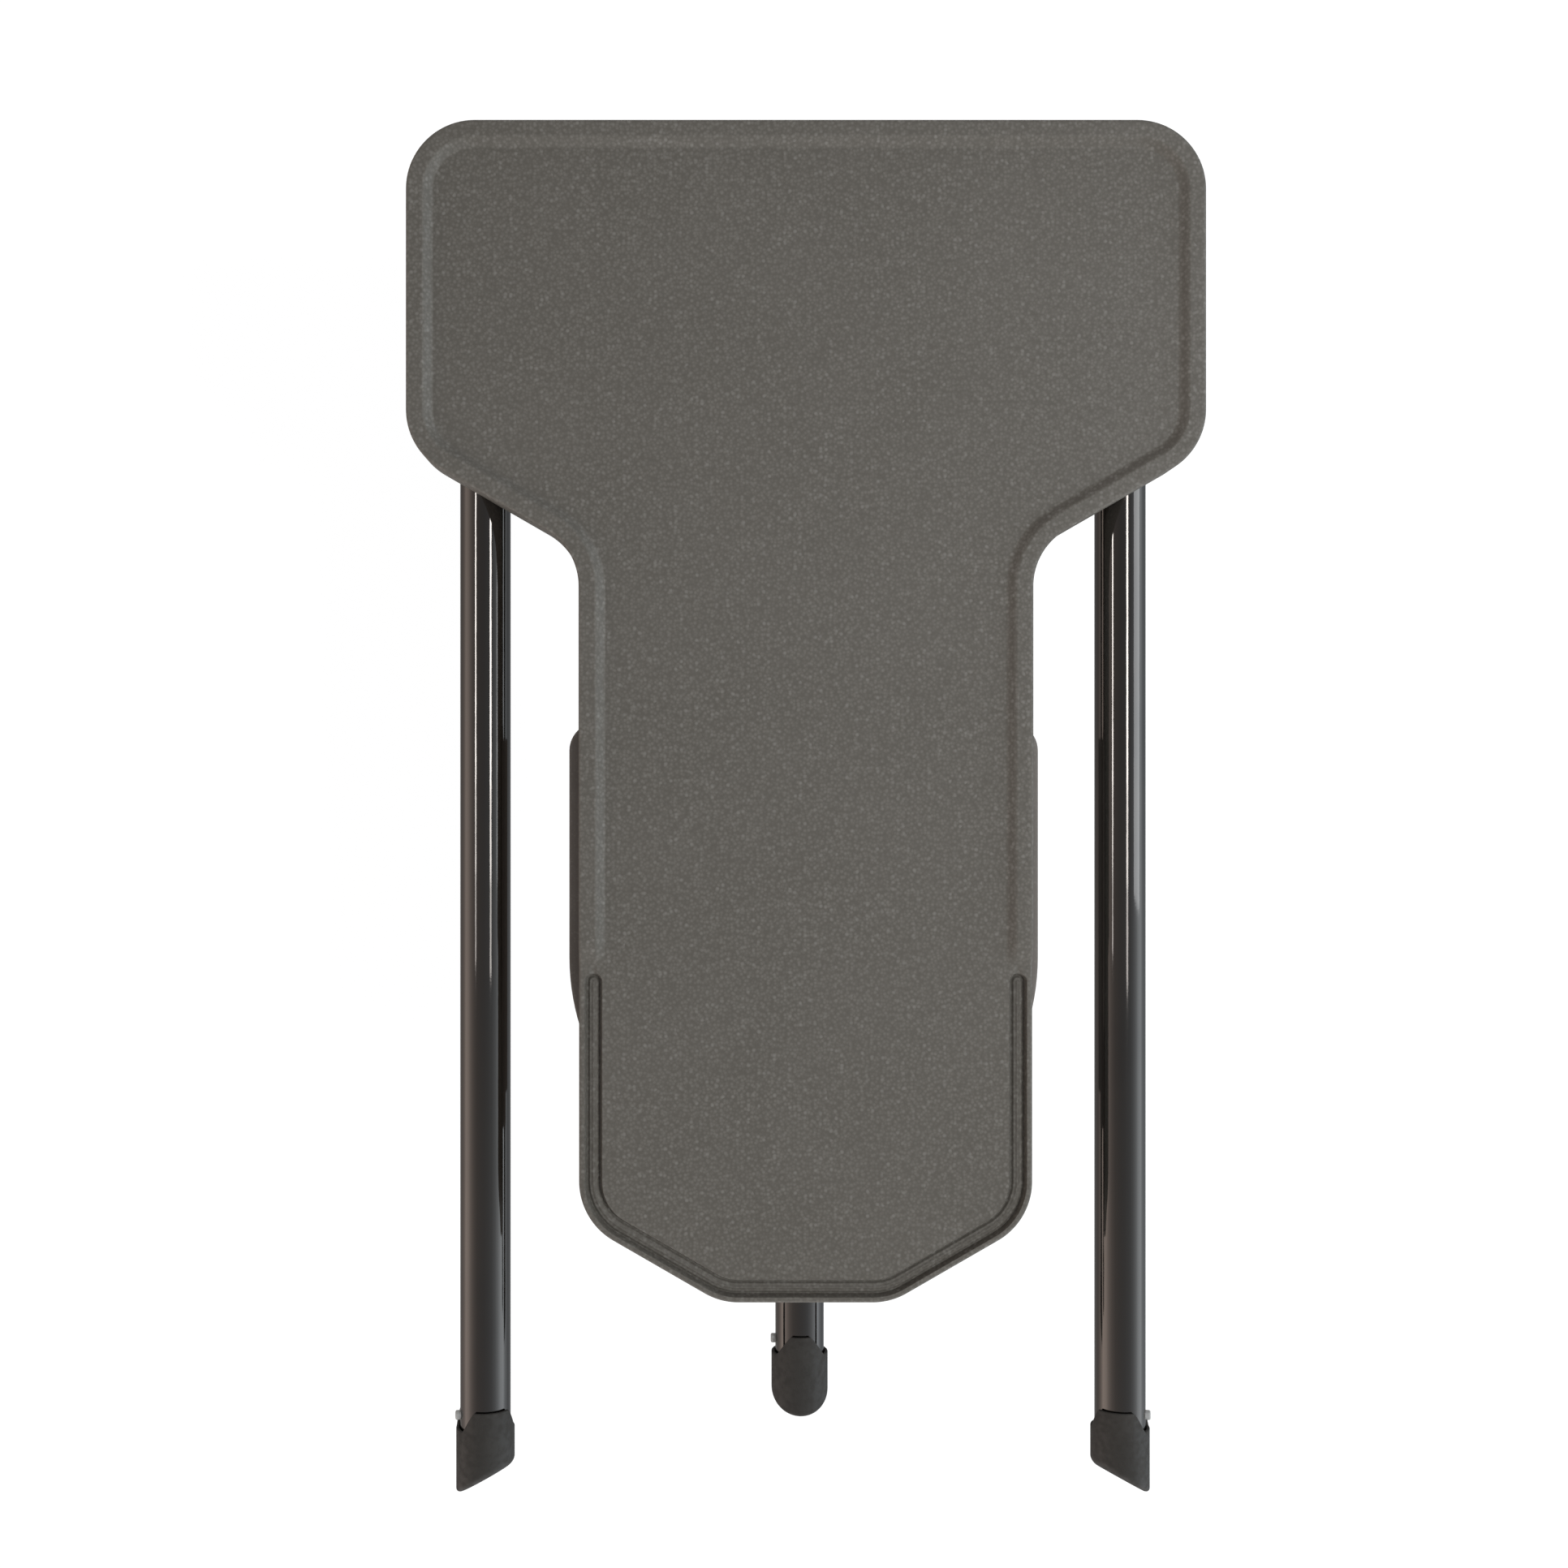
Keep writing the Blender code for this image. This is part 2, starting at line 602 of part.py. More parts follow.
def build_knuckle(leg, frame):
    """The hinge eye with its flats, and the collar and spigot that plug the tube."""
    flat_start = math.sqrt(EYE_RADIUS**2 - BLOCK_HALF_HEIGHT**2)
    flat_angle = math.asin(flat_start / EYE_RADIUS)
    outline = [(BLOCK_HALF_HEIGHT, 0.020), (-BLOCK_HALF_HEIGHT, 0.020)]
    for step in range(21):
        angle = math.pi - flat_angle + (math.pi + 2 * flat_angle) * step / 20
        outline.append((EYE_RADIUS * math.cos(angle), EYE_RADIUS * math.sin(angle)))
    shape = bmesh.new()
    prism(shape, outline, -EYE_HALF_WIDTH, EYE_HALF_WIDTH, ALONG_LEG @ SIDEWAYS)
    knuckle = add_object(f"{leg.name}_knuckle", shape, KNUCKLE_GREY, frame)
    plug = bmesh.new()
    spigot = TUBE_BORE - GAP
    profile = [(0.011, 0.019), (TUBE_RADIUS, 0.0205), (TUBE_RADIUS, TUBE_START - GAP)]
    profile += [(spigot, TUBE_START - GAP), (spigot, 0.052), (spigot - 0.001, 0.053)]
    turned(plug, profile, ALONG_LEG)
    combine(knuckle, "UNION", plug)
    bores = bmesh.new()
    rod(bores, PIN_BORE, -0.02, 0.02, ALONG_AXIS)
    rod(bores, POCKET_RADIUS, POCKET_FLOOR, 0.02, REARWARD)
    rod(bores, POCKET_RADIUS, POCKET_FLOOR, 0.02, Matrix.Rotation(-leg.opening, 4, "X") @ REARWARD)
    rod(bores, RIVET_BORE, -0.02, 0.02, Matrix.Translation((0, -RIVET_AT, 0)), 12)
    combine(knuckle, "DIFFERENCE", bores)
    rivet = bmesh.new()
    head = TUBE_RADIUS + GAP
    profile = [(0.002, -head - 0.0012), (0.0034, -head - 0.0006), (0.0034, -head)]
    profile += [(RIVET_BORE - GAP, -head), (RIVET_BORE - GAP, head), (0.0034, head)]
    profile += [(0.0034, head + 0.0006), (0.002, head + 0.0012)]
    turned(rivet, profile, Matrix.Translation((0, -RIVET_AT, 0)), 12)
    add_object(f"{leg.name}_tube_rivet", rivet, STEEL, frame)


def pin_place(leg):
    """Turns +Z onto the foot pin's outward direction, at its place along the leg."""
    along = leg.length - leg.foot["top"] + PIN_BELOW_LOBE
    turn = Matrix.Rotation(-leg.azimuth(leg.foot["pin"]), 4, "Y")
    return Matrix.Translation((0, -along, 0)) @ turn @ ALONG_AXIS


def build_tube(leg, frame):
    shape = bmesh.new()
    end = leg.tube_end()
    profile = [(TUBE_RADIUS, TUBE_START), (TUBE_RADIUS, end), (TUBE_BORE, end), (TUBE_BORE, TUBE_START)]
    turned(shape, profile, ALONG_LEG, 32, closed=True)
    tube = add_object(f"{leg.name}_leg_tube", shape, CHROME, frame)
    holes = bmesh.new()
    rod(holes, RIVET_BORE, -0.02, 0.02, Matrix.Translation((0, -RIVET_AT, 0)), 12)
    rod(holes, FOOT_PIN_RADIUS + GAP, 0.009, 0.02, pin_place(leg), 12)
    combine(tube, "DIFFERENCE", holes)
    pin = bmesh.new()
    profile = [(0.0036, 0.0088), (0.0036, 0.0099), (FOOT_PIN_RADIUS, 0.0099)]
    profile += [(FOOT_PIN_RADIUS, 0.0143), (0.0017, 0.0149)]
    turned(pin, profile, pin_place(leg), 12)
    add_object(f"{leg.name}_foot_pin", pin, PALE, frame)


def lobe_edge(leg, angle):
    """Height of the foot's upper edge above its sole's middle, at this angle about the leg."""
    turn = math.degrees(angle - leg.azimuth(leg.foot["lobe"])) % 180
    away = min(turn, 180 - turn)
    span = leg.foot["foot"] - leg.foot["flat"]
    fall = min(max((away - leg.foot["flat"]) / span, 0), 1)
    return leg.foot["top"] - LOBE_HEIGHT * fall


def build_foot(leg, frame):
    """A rubber cup on the tube's end, with two raised lobes and a sole that stands level."""
    slope = leg.sole_slope()
    bottom = leg.tube_end() + GAP
    inner = FOOT_RADIUS - FOOT_FILLET
    levels = ((FOOT_RADIUS, FOOT_FILLET), (FOOT_RADIUS - FOOT_FILLET * 0.3, FOOT_FILLET * 0.3), (inner, 0))
    rings = [[] for _ in range(6)]
    for step in range(36):
        angle = 2 * math.pi * step / 36
        spoke = Vector((math.cos(angle), math.sin(angle)))
        edge = leg.length - lobe_edge(leg, angle)
        places = [(FOOT_BORE, bottom), (FOOT_BORE, edge), (FOOT_RADIUS, edge)]
        places += [(radius, leg.length + radius * spoke.dot(slope) - rise) for radius, rise in levels]
        for points, (radius, along) in zip(rings, places):
            points.append(Vector((*(spoke * radius), along)))
    shape = bmesh.new()
    loft(shape, rings, ALONG_LEG)
    add_object(f"{leg.name}_foot", shape, RUBBER, frame)


def build_bracket_screws(leg):
    x, y = leg.base_centre()
    z = SEAT_TOP - PAD_DEPTH - BASE_THICKNESS - 2 * GAP
    for number in range(4):
        place = (x + (2 * (number % 2) - 1) * SCREW_X, y + (2 * (number // 2) - 1) * SCREW_Y, z)
        build_screw(f"{leg.name}_bracket_screw_{number + 1}", place, 0.0088)


def build_leg(leg):
    fixed = leg.frame("hinge_mount")
    moving = leg.frame("hinge_axis")
    build_bracket(leg, fixed)
    build_bracket_screws(leg)
    build_pin_and_clip(leg, fixed)
    build_lock(leg, fixed, leg.frame("lock_axis"))
    build_knuckle(leg, moving)
    build_tube(leg, moving)
    build_foot(leg, moving)


clear_scene()
build_seat()
build_cradle()
for each_leg in LEGS:
    build_leg(each_leg)
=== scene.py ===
"""The looks of the fold-flat shower stool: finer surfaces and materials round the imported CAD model.

Most pieces stand for a CAD node, ride on that node's body and keep its size and place.
Metres, +Z up: the stool is folded, with its seat facing up and its lowest point at Z 0.
"""

import json
import math

import bmesh
import bpy
from mathutils import Matrix, Vector


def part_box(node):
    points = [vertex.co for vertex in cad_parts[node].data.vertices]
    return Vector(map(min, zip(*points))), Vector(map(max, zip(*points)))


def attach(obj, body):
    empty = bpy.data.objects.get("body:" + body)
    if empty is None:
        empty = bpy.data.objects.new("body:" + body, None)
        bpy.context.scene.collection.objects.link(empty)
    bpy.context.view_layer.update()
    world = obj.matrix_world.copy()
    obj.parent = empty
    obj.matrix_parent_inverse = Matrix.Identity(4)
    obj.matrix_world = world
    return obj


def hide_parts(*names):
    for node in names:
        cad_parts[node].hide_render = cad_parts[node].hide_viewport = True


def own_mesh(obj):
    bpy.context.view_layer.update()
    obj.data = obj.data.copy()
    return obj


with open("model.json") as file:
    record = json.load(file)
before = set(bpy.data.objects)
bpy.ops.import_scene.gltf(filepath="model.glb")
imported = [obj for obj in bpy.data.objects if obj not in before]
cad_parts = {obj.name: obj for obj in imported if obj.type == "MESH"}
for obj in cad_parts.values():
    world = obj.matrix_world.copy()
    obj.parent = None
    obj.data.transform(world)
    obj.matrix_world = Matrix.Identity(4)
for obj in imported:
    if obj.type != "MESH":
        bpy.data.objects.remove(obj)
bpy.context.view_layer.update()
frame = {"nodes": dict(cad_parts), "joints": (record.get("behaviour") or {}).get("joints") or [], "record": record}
BODIES = frame["record"]["behaviour"]["bodies"]
JOINTS = {joint["name"]: joint for joint in frame["joints"]}

# Seat outline. Distances along the seat are measured forward from its rear edge.
SEAT_LOW, SEAT_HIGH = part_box("seat_shell")
SEAT_TOP = SEAT_HIGH.z
SEAT_REAR = SEAT_HIGH.y
SEAT_LENGTH = SEAT_HIGH.y - SEAT_LOW.y
HEAD_HALF_WIDTH = SEAT_HIGH.x
SKIRT_DEPTH = SEAT_HIGH.z - SEAT_LOW.z
HEAD_SIDE = 0.1587
STEM_HALF_WIDTH = 0.1097
NOSE_HALF_WIDTH = 0.0413
SLOPE = math.radians(30)
OUTER_CORNER = 0.0332
INNER_CORNER = 0.0313

# Seat section
SKIRT_WALL = 0.003
SKIRT_EASE = (0.0007, 0.0002)  # how far the eased lower edges start and bulge from their corners
EDGE_ROUND = 0.0015
LIP_HEIGHT = 0.0033
LIP_SLOPE = (0.0076, 0.0130)  # from the lip's flat top to the tray's floor, in from the edge
LIP_FADE = (0.396, 0.409)
PLATE = 0.005
GROOVE_DEPTH = 0.0037
GROOVE_MIDDLE = 0.0070  # in from the edge
GROOVE_HALF_WIDTH = 0.0043
GROOVE_WALL = 0.0012
GROOVE_STEP = 0.0010  # how far the groove's floor stands above the channels along its walls
GROOVE_FLOOR = (0.0029, 0.0016)  # from a channel up to the floor, out from the groove's middle
GROOVE_BEAD = 0.0005  # height of the faint ridge along the groove's floor
BEAD_HALF_WIDTH = 0.0012
BEAD_FADE = 0.001
GROOVE_START = 0.4160
GROOVE_RINGS = 44
TRAY_RINGS = (0.0150, 0.0175)  # in from the edge
RIB = 0.0026
RIB_ROUND = 0.0005
RIBS_ALONG = ((0, 0.0), (0.055, 0.006), (0.088, 0.028))  # |X|, how far short of the nose
CENTRE_RIB_REAR = 0.09
HEAD_RIB = 0.095
STEM_RIBS = (0.24, 0.36, 0.475)
UNDERSIDE = SEAT_TOP - LIP_HEIGHT - PLATE
SUNK = 0.001  # how far ribs, pads, bosses and webs reach into the plate that they hang from
PAD_DEPTH = 0.012
PAD_REACH = (0.030, 0.027)
BASE_FORWARD = 0.002
BASE_THICKNESS = 0.003
BOSS_RADIUS = 0.005
BOSS_FLARE = (0.0008, 0.0018)  # out and down from the plate

# Leg cradle
CRADLE_LOW, CRADLE_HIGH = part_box("leg_cradle")
CRADLE_PLATE = 0.006
CRADLE_REAR = 0.2898
CRADLE_STRAIGHT = 0.116
CRADLE_CORNER = 0.014
CRADLE_ROUND = 0.0012
RUNNER = 0.006
RUNNER_ROUND = 0.0015
RUNNER_X = (0.0165, 0.075)
RUNNER_Y = ((0.296, 0.515), (0.296, 0.486))
CRADLE_SCREWS = ((0.045, 0.315), (0.045, 0.45))
WEB = 0.0024
WEB_REACH = 0.012
WEB_DROP = 0.021
WEB_Y = (0.335, 0.395, 0.465)

# Screws
SCREW_X = 0.021  # from the middle of a bracket
SCREW_Y = 0.0165
SHORT_SCREW = 0.0088
LONG_SCREW = 0.0165
SCREW_RADIUS = 0.0018
SCREW_HEAD_RADIUS = 0.0036
SCREW_HEAD_HEIGHT = 0.0024
SCREW_HEAD_ROUND = 0.0017
SCREW_POINT = 0.0012
RECESS_MOUTH = (0.002, 0.0004, -0.003)  # half length, half width, height
RECESS_FLOOR = (0.001, 0.0003, -0.0009)

# Legs
TUBE_RADIUS = 0.0125
TUBE_BORE = 0.011
TUBE_START = 0.025
TUBE_EASE = 0.0004
PIN_RADIUS = 0.0035
PIN_HEAD_RADIUS = 0.006
PIN_HEAD_HEIGHT = 0.0024
PIN_NECK = 0.0026  # radius in the clip's groove
CLIP_RADII = (0.0029, 0.0058)
CLIP_THICKNESS = 0.001
CLIP_EASE = 0.0002
CLIP_GAP = math.radians(80)
RIVET_AT = 0.033
RIVET_RADIUS = 0.0019
RIVET_HEAD_RADIUS = 0.0034
CHEEK_OUTER = 0.013
BACK_WALL = 0.020
SIDE_LENGTH = 0.5327
FRONT_LENGTH = 0.5061
GAP = 0.0003
TUBE_HEIGHT = JOINTS["left_leg_fold"]["pos_m"][2]

# Feet. Azimuths run from straight up towards the leg's outer side.
FOOT_RADIUS = 0.0145
FOOT_BORE = 0.0128
FOOT_FILLET = 0.0035
LOBE_HEIGHT = 0.0103
PIN_BELOW_LOBE = 0.0042
FOOT_PIN_RADIUS = 0.00235
FOOT_PIN_END = 0.0149  # out from the leg's axis
FOOT_PIN_ROUND = 0.0008
FOOT_PIN_FLANGE = (0.0036, 0.0088, 0.0099)  # radius, and its two faces out from the leg's axis
TREAD_RADII = (0.0095, 0.0062)
TREAD_DEPTH = 0.0007
TREAD_WIDTH = 0.0013
TREAD_SLANT = 0.0002
SIDE_FOOT = {"top": 0.0366, "lobe": -21, "flat": 38, "foot": 67, "pin": 78}
FRONT_FOOT = {"top": 0.0325, "lobe": 0, "flat": 20, "foot": 58, "pin": 90}

# Lock buttons, along the bracket's rearward axis
TIP = (0.0127, 0.0162)  # start and end
TIP_RADIUS = 0.0036
TIP_ROUND = 0.0008
STEM_RADIUS = 0.0024
KNOB = (0.027, 0.032)  # start and end
KNOB_RADIUS = 0.006
KNOB_ROUND = 0.0012
SPRING_RADIUS = 0.0036
SPRING_WIRE = 0.0005
SPRING_TURNS = 4
SPRING_STEPS = 28  # in one turn
WIRE_SIDES = 10

# Studio
FLOOR_SIZE = 30.0
FLOOR_WHITE = 0.25
FLOOR_GLOW = 0.9
KEY_PLACE = (1.25, -0.3, 2.3)
KEY_SIZE = 0.6
KEY_POWER = 38
KEY_COLOUR = (0.95, 0.98, 1.0)
STRIP_HEIGHT = 1.56
STRIPS = ((-1.353, 0.17), (0.724, 0.22))  # X, width
STRIP_RADIANCE = 9.0
STRIP_STARTS = (-0.26, -0.12, 0.01)
STRIP_END = 0.85
PANEL_PLACE = (1.26, 0.54, 0.52)
PANEL_SIZE = (1.32, 0.75)
PANEL_POWER = 5.4
PANEL_COLOUR = (0.86, 0.93, 1.0)
SKY = (  # height from straight down, 0, to straight up, 1, and brightness
    (0.0, 0.2), (0.2, 0.28), (0.36, 0.6), (0.47, 1.1), (0.6, 0.95),
    (0.71, 0.6), (0.8, 0.4), (0.9, 0.26), (1.0, 0.2),
)
SKY_LEFT = (1.0, 0.87, 0.80)
SKY_RIGHT = (1.05, 1.17, 1.27)
SKY_FRONT = 1.45
SKY_REAR = 0.6
CAMERA_PLACE = (-0.0469, 0.0165, 0.9595)
CAMERA_LENS = 42.0
CAMERA_SHIFT = 0.048

ALONG_LEG = Matrix.Rotation(math.radians(90), 4, "X")  # turns +Z onto a folded leg's -Y
ALONG_AXIS = Matrix.Rotation(math.radians(90), 4, "Y")  # turns +Z onto the hinge axis, +X
REARWARD = Matrix.Rotation(math.radians(-90), 4, "X")  # turns +Z onto +Y


def smooth(value):
    """0 up to 0, 1 from 1 on, and an S between them."""
    value = min(max(value, 0.0), 1.0)
    return value * value * (3 - 2 * value)


def from_rear(distance):
    return SEAT_REAR - distance


# Mesh helpers


def ring(radius, height, segments):
    """Points round a circle about Z."""
    turns = [2 * math.pi * step / segments for step in range(segments)]
    return [Vector((radius * math.cos(a), radius * math.sin(a), height)) for a in turns]


def loft(shape, rings, matrix=Matrix(), closed=False):
    """Join rings of points into a skin with flat caps, or, if closed, back to the first ring."""
    rows = [[shape.verts.new(matrix @ point) for point in points] for points in rings]
    pairs = list(zip(rows, rows[1:]))
    if closed:
        pairs.append((rows[-1], rows[0]))
    for lower, upper in pairs:
        for index in range(len(lower)):
            after = (index + 1) % len(lower)
            shape.faces.new((lower[index], lower[after], upper[after], upper[index]))
    if not closed:
        shape.faces.new(reversed(rows[0]))
        shape.faces.new(rows[-1])


def turned(shape, profile, matrix=Matrix(), segments=64, closed=False):
    """A solid turned about Z, from (radius, height) pairs that run up its outside."""
    loft(shape, [ring(radius, height, segments) for radius, height in profile], matrix, closed)


def soft_box(shape, low, high, radius, segments=3):
    """A box with rounded edges."""
    made = bmesh.ops.create_cube(shape, size=1.0)["verts"]
    middle = (Vector(low) + Vector(high)) / 2
    size = Vector(high) - Vector(low)
    for vert in made:
        vert.co = middle + Vector((vert.co.x * size.x, vert.co.y * size.y, vert.co.z * size.z))
    edges = {edge for vert in made for edge in vert.link_edges}
    bmesh.ops.bevel(
        shape, geom=list(edges), offset=radius, segments=segments, profile=0.5, affect="EDGES"
    )


def arc(centre, radius, start, end, steps):
    """Pairs of coordinates round an arc, from one angle to another in degrees."""
    angles = [math.radians(start + (end - start) * step / steps) for step in range(steps + 1)]
    return [(centre[0] + radius * math.cos(a), centre[1] + radius * math.sin(a)) for a in angles]


def add_object(name, shape, finish, sharp=32):
    mesh = bpy.data.meshes.new(name)
    shape.to_mesh(mesh)
    shape.free()
    piece = bpy.data.objects.new(name, mesh)
    bpy.context.scene.collection.objects.link(piece)
    mesh.materials.append(finish)
    mesh.shade_smooth()
    mesh.set_sharp_from_angle(angle=math.radians(sharp))
    return piece


def body_of(node):
    return next(body for body, nodes in BODIES.items() if node in nodes)


def stand_for(piece, node):
    """This piece shows instead of a CAD node and moves with it."""
    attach(piece, body_of(node))
    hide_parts(node)
    return piece


def cut(piece, shape):
    """Subtract a shape from a piece for good."""
    mesh = bpy.data.meshes.new("cutter")
    shape.to_mesh(mesh)
    shape.free()
    cutter = bpy.data.objects.new("cutter", mesh)
    bpy.context.scene.collection.objects.link(cutter)
    boolean = piece.modifiers.new("cut", "BOOLEAN")
    boolean.operation = "DIFFERENCE"
    boolean.solver = "EXACT"
    boolean.object = cutter
    evaluated = piece.evaluated_get(bpy.context.evaluated_depsgraph_get())
    result = bpy.data.meshes.new_from_object(evaluated)
    piece.modifiers.clear()
    piece.data = result
    bpy.data.objects.remove(cutter)


def refined(node, finish, width):
    """A copy of a CAD node's mesh with its facets joined and its edges rounded."""
    shape = bmesh.new()
    shape.from_mesh(frame["nodes"][node].data)
    bmesh.ops.remove_doubles(shape, verts=shape.verts, dist=0.00001)
    bmesh.ops.dissolve_limit(
        shape, angle_limit=math.radians(1), verts=shape.verts, edges=shape.edges, delimit=set()
    )
    piece = add_object(f"{node}_finished", shape, finish)
    bevel = piece.modifiers.new("edges", "BEVEL")
    bevel.width = width
    bevel.segments = 3
    bevel.limit_method = "ANGLE"
    bevel.angle_limit = math.radians(32)
    bevel.use_clamp_overlap = True
    bevel.harden_normals = True
    return stand_for(piece, node)


# Materials


def map_range(tree, source, start, end, low, high, interpolation="LINEAR"):
    """The source from start to end, turned into low to high."""
    node = tree.nodes.new("ShaderNodeMapRange")
    node.interpolation_type = interpolation
    for socket, value in (("From Min", start), ("From Max", end), ("To Min", low), ("To Max", high)):
        node.inputs[socket].default_value = value
    tree.links.new(source, node.inputs["Value"])
    return node.outputs["Result"]


class Finish:
    """A Principled material whose pattern is fixed to the object's own coordinates."""

    def __init__(self, name, colour, roughness, metallic=0.0):
        self.material = bpy.data.materials.new(name)
        self.material.use_nodes = True
        self.tree = self.material.node_tree
        self.shader = self.tree.nodes["Principled BSDF"]
        self.set("Base Color", (*colour, 1.0))
        self.set("Roughness", roughness)
        self.set("Metallic", metallic)
        self.coordinates = self.tree.nodes.new("ShaderNodeTexCoord").outputs["Object"]

    def set(self, socket, value):
        self.shader.inputs[socket].default_value = value

    def stretched(self, scale):
        mapping = self.tree.nodes.new("ShaderNodeMapping")
        mapping.inputs["Scale"].default_value = scale
        self.tree.links.new(self.coordinates, mapping.inputs["Vector"])
        return mapping.outputs["Vector"]

    def noise(self, scale, detail=2.0, stretch=None):
        node = self.tree.nodes.new("ShaderNodeTexNoise")
        node.inputs["Scale"].default_value = scale
        node.inputs["Detail"].default_value = detail
        place = self.stretched(stretch) if stretch else self.coordinates
        self.tree.links.new(place, node.inputs["Vector"])
        return node.outputs["Fac"]

    def dots(self, scale, reach, rarity):
        """Soft dots in a random scatter, each with its own strength, which few have in full."""
        node = self.tree.nodes.new("ShaderNodeTexVoronoi")
        node.inputs["Scale"].default_value = scale
        self.tree.links.new(self.coordinates, node.inputs["Vector"])
        split = self.tree.nodes.new("ShaderNodeSeparateColor")
        self.tree.links.new(node.outputs["Color"], split.inputs["Color"])
        strength = self.ranged(split.outputs["Red"], rarity, 1.0, 0, 1)
        return self.multiplied(self.ranged(node.outputs["Distance"], reach, 0.08, 0, 1), strength)

    def ranged(self, source, start, end, low, high):
        """The source from start to end, turned into low to high with soft ends."""
        return map_range(self.tree, source, start, end, low, high, "SMOOTHSTEP")

    def multiplied(self, first, second):
        node = self.tree.nodes.new("ShaderNodeMath")
        node.operation = "MULTIPLY"
        self.tree.links.new(first, node.inputs[0])
        self.tree.links.new(second, node.inputs[1])
        return node.outputs["Value"]

    def blended(self, share, first, second):
        """A colour between two colours, or between a socket's colour and a second one."""
        node = self.tree.nodes.new("ShaderNodeMix")
        node.data_type = "RGBA"
        self.tree.links.new(share, node.inputs["Factor"])
        for name, value in (("A", first), ("B", second)):
            socket = next(s for s in node.inputs if s.name == name and s.type == "RGBA")
            if isinstance(value, tuple):
                socket.default_value = (*value, 1.0)
            else:
                self.tree.links.new(value, socket)
        return next(s for s in node.outputs if s.type == "RGBA")

    def bump(self, height, strength, distance, under=None):
        node = self.tree.nodes.new("ShaderNodeBump")
        node.inputs["Strength"].default_value = strength
        node.inputs["Distance"].default_value = distance
        self.tree.links.new(height, node.inputs["Height"])
        if under:
            self.tree.links.new(under, node.inputs["Normal"])
        return node.outputs["Normal"]

    def drive(self, socket, source):
        self.tree.links.new(source, self.shader.inputs[socket])


def seat_plastic():
    finish = Finish("seat_plastic", (0.118, 0.110, 0.099), 0.55)
    grain = finish.dots(620, 0.80, -0.7)
    flecks = finish.dots(400, 0.52, 0.4)
    clouds = finish.ranged(finish.noise(14, 3.0), 0.3, 0.7, 0, 1)
    base = finish.blended(clouds, (0.096, 0.0870, 0.0730), (0.102, 0.0925, 0.0783))
    grained = finish.blended(grain, base, (0.150, 0.139, 0.121))
    finish.drive("Base Color", finish.blended(flecks, grained, (0.182, 0.171, 0.153)))
    finish.drive("Roughness", finish.ranged(finish.noise(240, 2.0), 0.3, 0.7, 0.48, 0.62))
    pebble = finish.bump(finish.noise(780, 1.5), 0.35, 0.00022)
    finish.drive("Normal", finish.bump(clouds, 0.05, 0.0008, pebble))
    return finish.material


def dark_plastic():
    # The same plastic as the seat, but every colour here is painted lighter than the seat's as painted light, to
    # make up for the shade under the seat; the clouds and grain are the plastic's own.
    finish = Finish("dark_plastic", (0.14, 0.125, 0.11), 0.6)
    clouds = finish.ranged(finish.noise(22, 3.0), 0.3, 0.7, 0, 1)
    grain = finish.dots(700, 0.6, 0.2)
    base = finish.blended(clouds, (0.146, 0.129, 0.114), (0.161, 0.143, 0.127))
    finish.drive("Base Color", finish.blended(grain, base, (0.185, 0.168, 0.150)))
    finish.drive("Roughness", finish.ranged(finish.noise(180), 0.3, 0.7, 0.52, 0.68))
    finish.drive("Normal", finish.bump(finish.noise(600), 0.3, 0.0002))
    return finish.material


def coated_steel():
    finish = Finish("coated_steel", (0.035, 0.034, 0.033), 0.45)
    wear = finish.ranged(finish.noise(60, 4.0), 0.55, 0.75, 0, 1)
    finish.drive("Base Color", finish.blended(wear, (0.034, 0.033, 0.032), (0.055, 0.052, 0.049)))
    finish.drive("Roughness", finish.ranged(finish.noise(140, 3.0), 0.3, 0.7, 0.36, 0.56))
    finish.drive("Normal", finish.bump(finish.noise(420, 1.0), 0.35, 0.00015))
    return finish.material


def knuckle_plastic():
    finish = Finish("knuckle_plastic", (0.045, 0.043, 0.040), 0.5)
    flow = finish.ranged(finish.noise(90, 3.0, (1, 0.25, 1)), 0.35, 0.7, 0, 1)
    finish.drive("Base Color", finish.blended(flow, (0.042, 0.040, 0.037), (0.060, 0.057, 0.053)))
    finish.drive("Roughness", finish.ranged(finish.noise(220), 0.3, 0.7, 0.42, 0.58))
    finish.drive("Normal", finish.bump(finish.noise(520), 0.25, 0.00015))
    return finish.material


def dark_chrome():
    finish = Finish("dark_chrome", (0.13, 0.121, 0.115), 0.14, 1.0)
    streaks = finish.noise(260, 3.0, (1, 0.02, 1))
    smudges = finish.ranged(finish.noise(26, 4.0, (1, 0.4, 1)), 0.45, 0.75, 0, 1)
    finish.drive("Base Color", finish.blended(smudges, (0.132, 0.123, 0.116), (0.115, 0.108, 0.104)))
    finish.drive("Roughness", finish.ranged(streaks, 0.3, 0.7, 0.05, 0.10))
    drawn = finish.bump(finish.noise(1500, 2.0, (1, 0.06, 1)), 0.10, 0.00005)
    finish.drive("Normal", finish.bump(finish.noise(900, 1.0), 0.05, 0.00005, drawn))
    return finish.material


def bright_steel():
    finish = Finish("bright_steel", (0.52, 0.51, 0.5), 0.3, 1.0)
    stains = finish.ranged(finish.noise(160, 4.0), 0.45, 0.75, 0, 1)
    finish.drive("Base Color", finish.blended(stains, (0.54, 0.53, 0.52), (0.40, 0.385, 0.37)))
    finish.drive("Roughness", finish.ranged(finish.noise(400, 3.0), 0.3, 0.7, 0.22, 0.42))
    finish.drive("Normal", finish.bump(finish.noise(1400), 0.12, 0.00008))
    return finish.material


